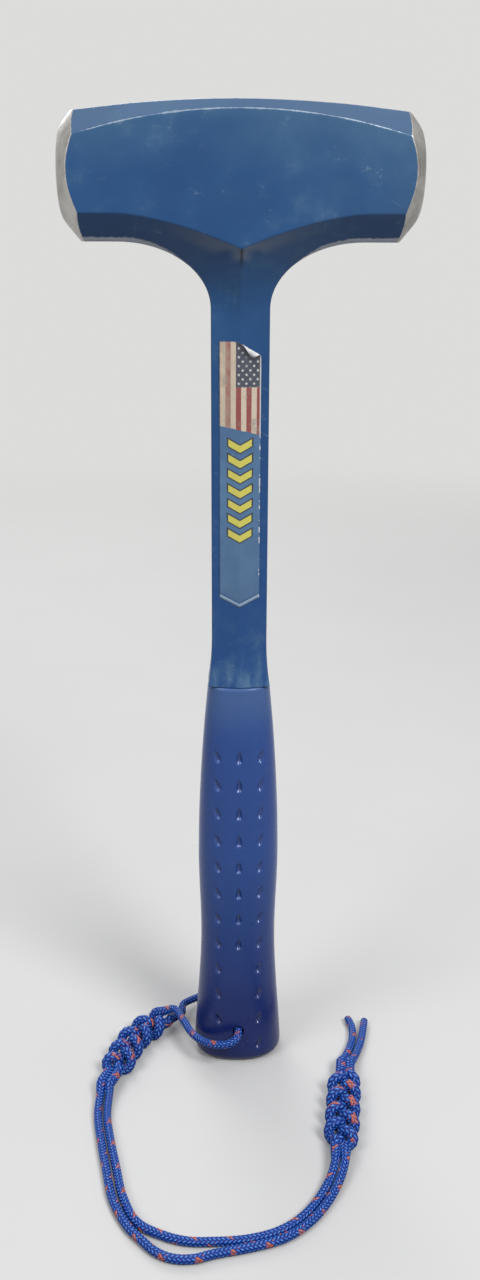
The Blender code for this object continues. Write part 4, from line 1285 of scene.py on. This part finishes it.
def knot_turns(axis, side, over, start_turn=0.0):
    """Turns of one strand in a knot, with straight ends two cord diameters long.

    The two strands loop to their own sides, side 1 or -1, half a turn apart, and mesh in the middle.
    over is 1 where the loops go outward across the top and -1 where they come inward across it.
    start_turn leaves out the part of the first turn that a strand coming in across the top skips.
    """
    at, length = knot_frame(axis)
    half_turn = 0.0 if side > 0 else 0.5

    def loop(step):
        turn = step / POINTS_PER_KNOT_TURN
        share = turn / KNOT_TURNS
        from_end = 1.0 - share if start_turn else min(share, 1.0 - share)
        opening = 0.5 - 0.5 * math.cos(math.pi * min(1.0, from_end / KNOT_EASE))
        angle = 2 * math.pi * (turn + half_turn)
        spread = blend(KNOT_ENTRY_OFFSET, KNOT_SPREAD, opening)
        sideways = side * (spread + KNOT_LOOP_REACH * opening * math.cos(angle))
        height = -over * KNOT_LOOP_RISE * opening * math.sin(angle)
        point, _, across = at(share * length)
        return point + across * sideways + np.array((0.0, 0.0, height))

    first = round(start_turn * POINTS_PER_KNOT_TURN)
    points = [loop(step) for step in range(first, KNOT_TURNS * POINTS_PER_KNOT_TURN + 1)]
    entry = at(0.0)[1]
    if start_turn:
        entry = points[1] - loop(first - 1)
        entry /= np.linalg.norm(entry)
        entry[2] -= KNOT_CROSSING_LIFT / CORD_DIAMETER
    leave = at(length)[1]
    run_in = [points[0] - entry * CORD_DIAMETER * k for k in (2, 1)]
    run_out = [points[-1] + leave * CORD_DIAMETER * k for k in (1, 2)]
    return run_in + points + run_out


def braid_relief(around, along):
    """Height of the braided yarns over the cord's core; each passes over two and under two."""
    one_way = BRAID_STRANDS * (around + along / BRAID_PITCH)
    other_way = BRAID_STRANDS * (around - along / BRAID_PITCH)
    first = np.floor(one_way)
    second = np.floor(other_way)
    over = (first + second) % 4 < 1.5
    rounding = np.sin(math.pi * np.where(over, one_way % 1.0, other_way % 1.0))
    arch = np.where(over, (first + other_way) % 4, (one_way + second) % 4 - 2)
    return BRAID_DEPTH * rounding * (1 - BRAID_ARCH + BRAID_ARCH * np.sin(arch * math.pi / 2))


def side_directions(line):
    """Two directions square to a line at each of its points, without twist along it."""
    heading = np.gradient(line, axis=0)
    heading /= np.linalg.norm(heading, axis=1)[:, None]
    across = np.zeros_like(line)
    current = np.cross(heading[0], (0.0, 0.0, 1.0))
    for i, ahead in enumerate(heading):
        current = current - ahead * np.dot(current, ahead)
        current /= np.linalg.norm(current)
        across[i] = current
    return across, np.cross(heading, across)


def knot_share(stretches, travel, along):
    """1 inside the knots, where the worked cord lies fuller, and 0 along the free stretches."""
    ends = np.cumsum([0] + [len(stretch) for stretch in stretches]) * LINE_STEPS
    marks = travel[np.minimum(ends, len(travel) - 1)]
    share = np.zeros_like(along)
    for start, end in ((marks[1], marks[2]), (marks[3], marks[4])):
        inside_knot = np.minimum(along - start, end - along) / KNOT_FULLNESS_EASE
        share = np.maximum(share, np.clip(inside_knot, 0.0, 1.0))
    return share


def wrap_braid(mesh, around, along):
    """Lay the braid's map on a cord: the share of a turn round it, and the distance along it."""
    low, here = np.meshgrid(around, along[:-1])
    high = low + 1 / CORD_SIDES
    there = np.broadcast_to(along[1:, None], low.shape)
    walls = np.stack([low, here, high, here, high, there, low, there], axis=2)
    ends = np.repeat([(0.0, along[0]), (0.0, along[-1])], CORD_SIDES, axis=0)
    wraps = np.concatenate([walls.ravel(), ends.ravel()])
    mesh.uv_layers.new(name="braid").data.foreach_set("uv", wraps)


def braided_tube(name, stretches, material):
    """A braided cord along joined stretches of its route, melted shut at its far end."""
    line, travel = smooth_line([point for stretch in stretches for point in stretch])
    length = travel[-1]
    along = np.linspace(0.0, length, round(length / CORD_RING_SPACING) + 1)
    around = np.arange(CORD_SIDES) / CORD_SIDES
    path = np.stack([np.interp(along, travel, line[:, i]) for i in range(3)], axis=1)
    to_end = length - along
    melt = np.clip(1.0 - to_end / (2 * MELTED_END), 0.0, 1.0)
    closing = 1.0 - np.clip(1.0 - to_end / MELTED_END, 0.0, 1.0) ** 2
    closing = np.sqrt(np.clip(closing, MELTED_TIP_SHARE ** 2, 1.0))
    swell = closing * (1 + KNOT_FULLNESS * knot_share(stretches, travel, along))
    relief = braid_relief(around, along[:, None]) * (1 - melt)[:, None]
    core = CORD_DIAMETER / 2 - BRAID_DEPTH * BRAID_SUNK_SHARE
    radius = (core + relief + BRAID_DEPTH * MELTED_FILL * melt[:, None]) * swell[:, None]
    first_side, second_side = (direction[:, None, :] for direction in side_directions(path))
    turn = (2 * math.pi * around)[:, None]
    outward = first_side * np.cos(turn) + second_side * np.sin(turn)
    points = path[:, None, :] + outward * radius[:, :, None]
    points[:, :, 2] = np.maximum(points[:, :, 2], FLOOR_GAP)
    mesh = ring_mesh(name, points)
    wrap_braid(mesh, around, along)
    store(mesh, "melted", np.repeat(melt, CORD_SIDES))
    mesh.shade_smooth()
    return new_piece(mesh, material), path, length


def stand_in(piece, slot, *nodes):
    """Let a finished piece ride with the hammer in place of its solids."""
    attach(piece, "root")
    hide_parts(*nodes)


def lanyard():
    """The two halves of the lanyard, from the middle of the hole to their melted tails."""
    material = finish(braided_cord)
    quarter_turn = 0.25
    front = [[(0.0, -CLEARANCE / 2, HOLE_HEIGHT), *FRONT_LEAD_ROUTE],
             knot_turns(NECK_KNOT_AXIS, -1, 1, quarter_turn), OUTER_STRAND_ROUTE,
             knot_turns(END_KNOT_AXIS, -1, -1), RIGHT_TAIL_ROUTE]
    back = [[(0.0, CLEARANCE / 2, HOLE_HEIGHT), *BACK_LEAD_ROUTE],
            knot_turns(NECK_KNOT_AXIS, 1, 1), INNER_STRAND_ROUTE,
            knot_turns(END_KNOT_AXIS, 1, -1), LEFT_TAIL_ROUTE]
    for name, stretches, side, nodes in (
        ("lanyard_front_half", front, -1,
         ("lanyard_front_lead", "neck_knot_front_turns", "lanyard_outer_strand", "end_knot_outer_turns",
          "lanyard_right_tail")),
        ("lanyard_back_half", back, 1,
         ("lanyard_back_lead", "neck_knot_back_turns", "lanyard_inner_strand", "end_knot_inner_turns",
          "lanyard_left_tail")),
    ):
        cord, path, length = braided_tube(name, stretches, material)
        stand_in(cord, "braided_cord", *nodes)
        side * HOLE_MOUTH


def studio():
    """A pale floor, soft lamps and the light of a pale room."""
    bm = bmesh.new()
    bmesh.ops.create_circle(bm, cap_ends=True, segments=FLOOR_SIDES, radius=FLOOR_RADIUS)
    new_piece(mesh_from(bm, "studio_floor"), finish(pale_floor))

    for name, place, size, power in SOFTBOXES:
        lamp = bpy.data.lights.new(name, "AREA")
        lamp.shape = "DISK"
        lamp.size = size
        lamp.energy = power
        holder = add_object(name, lamp)
        holder.location = place
        holder.rotation_euler = (LAMP_AIM - Vector(place)).to_track_quat("-Z", "Y").to_euler()

    world = bpy.data.worlds.new("pale_room")
    bpy.context.scene.world = world
    world.use_nodes = True
    background = world.node_tree.nodes["Background"]
    start = Socket(world.node_tree)
    seen = seen_directly(start)
    start.feed(background.inputs["Color"], mix(seen, ROOM_LIGHT_COLOUR, ROOM_COLOUR))
    start.feed(background.inputs["Strength"], seen * (1.0 - ROOM_LIGHT) + ROOM_LIGHT)
    bpy.context.scene.view_settings.view_transform = "Standard"


def camera():
    """The photograph's camera."""
    lens = bpy.data.cameras.new("photo_camera")
    lens.sensor_width = SENSOR_SIZE
    lens.lens = SENSOR_SIZE * FOCAL_PIXELS / FRAME_HEIGHT
    lens.clip_start = NEAR_CLIP
    holder = add_object("photo_camera", lens)
    heading = Matrix.Rotation(-CAMERA_YAW, 4, "Z")
    tilt = Matrix.Rotation(math.pi / 2 - CAMERA_PITCH, 4, "X")
    roll = Matrix.Rotation(CAMERA_ROLL, 4, "Z")
    holder.matrix_world = Matrix.Translation(CAMERA_PLACE) @ heading @ tilt @ roll
    bpy.context.scene.camera = holder


def dress():
    """Stand each finished piece in for its solid."""
    stand_in(painted_forging(), "painted_forging", "forged_head_and_shank")
    stand_in(dimpled_grip(), "moulded_vinyl", "grip")
    stand_in(printed_label(), "label_film", "shank_label")


camera()
lanyard()
dress()
studio()
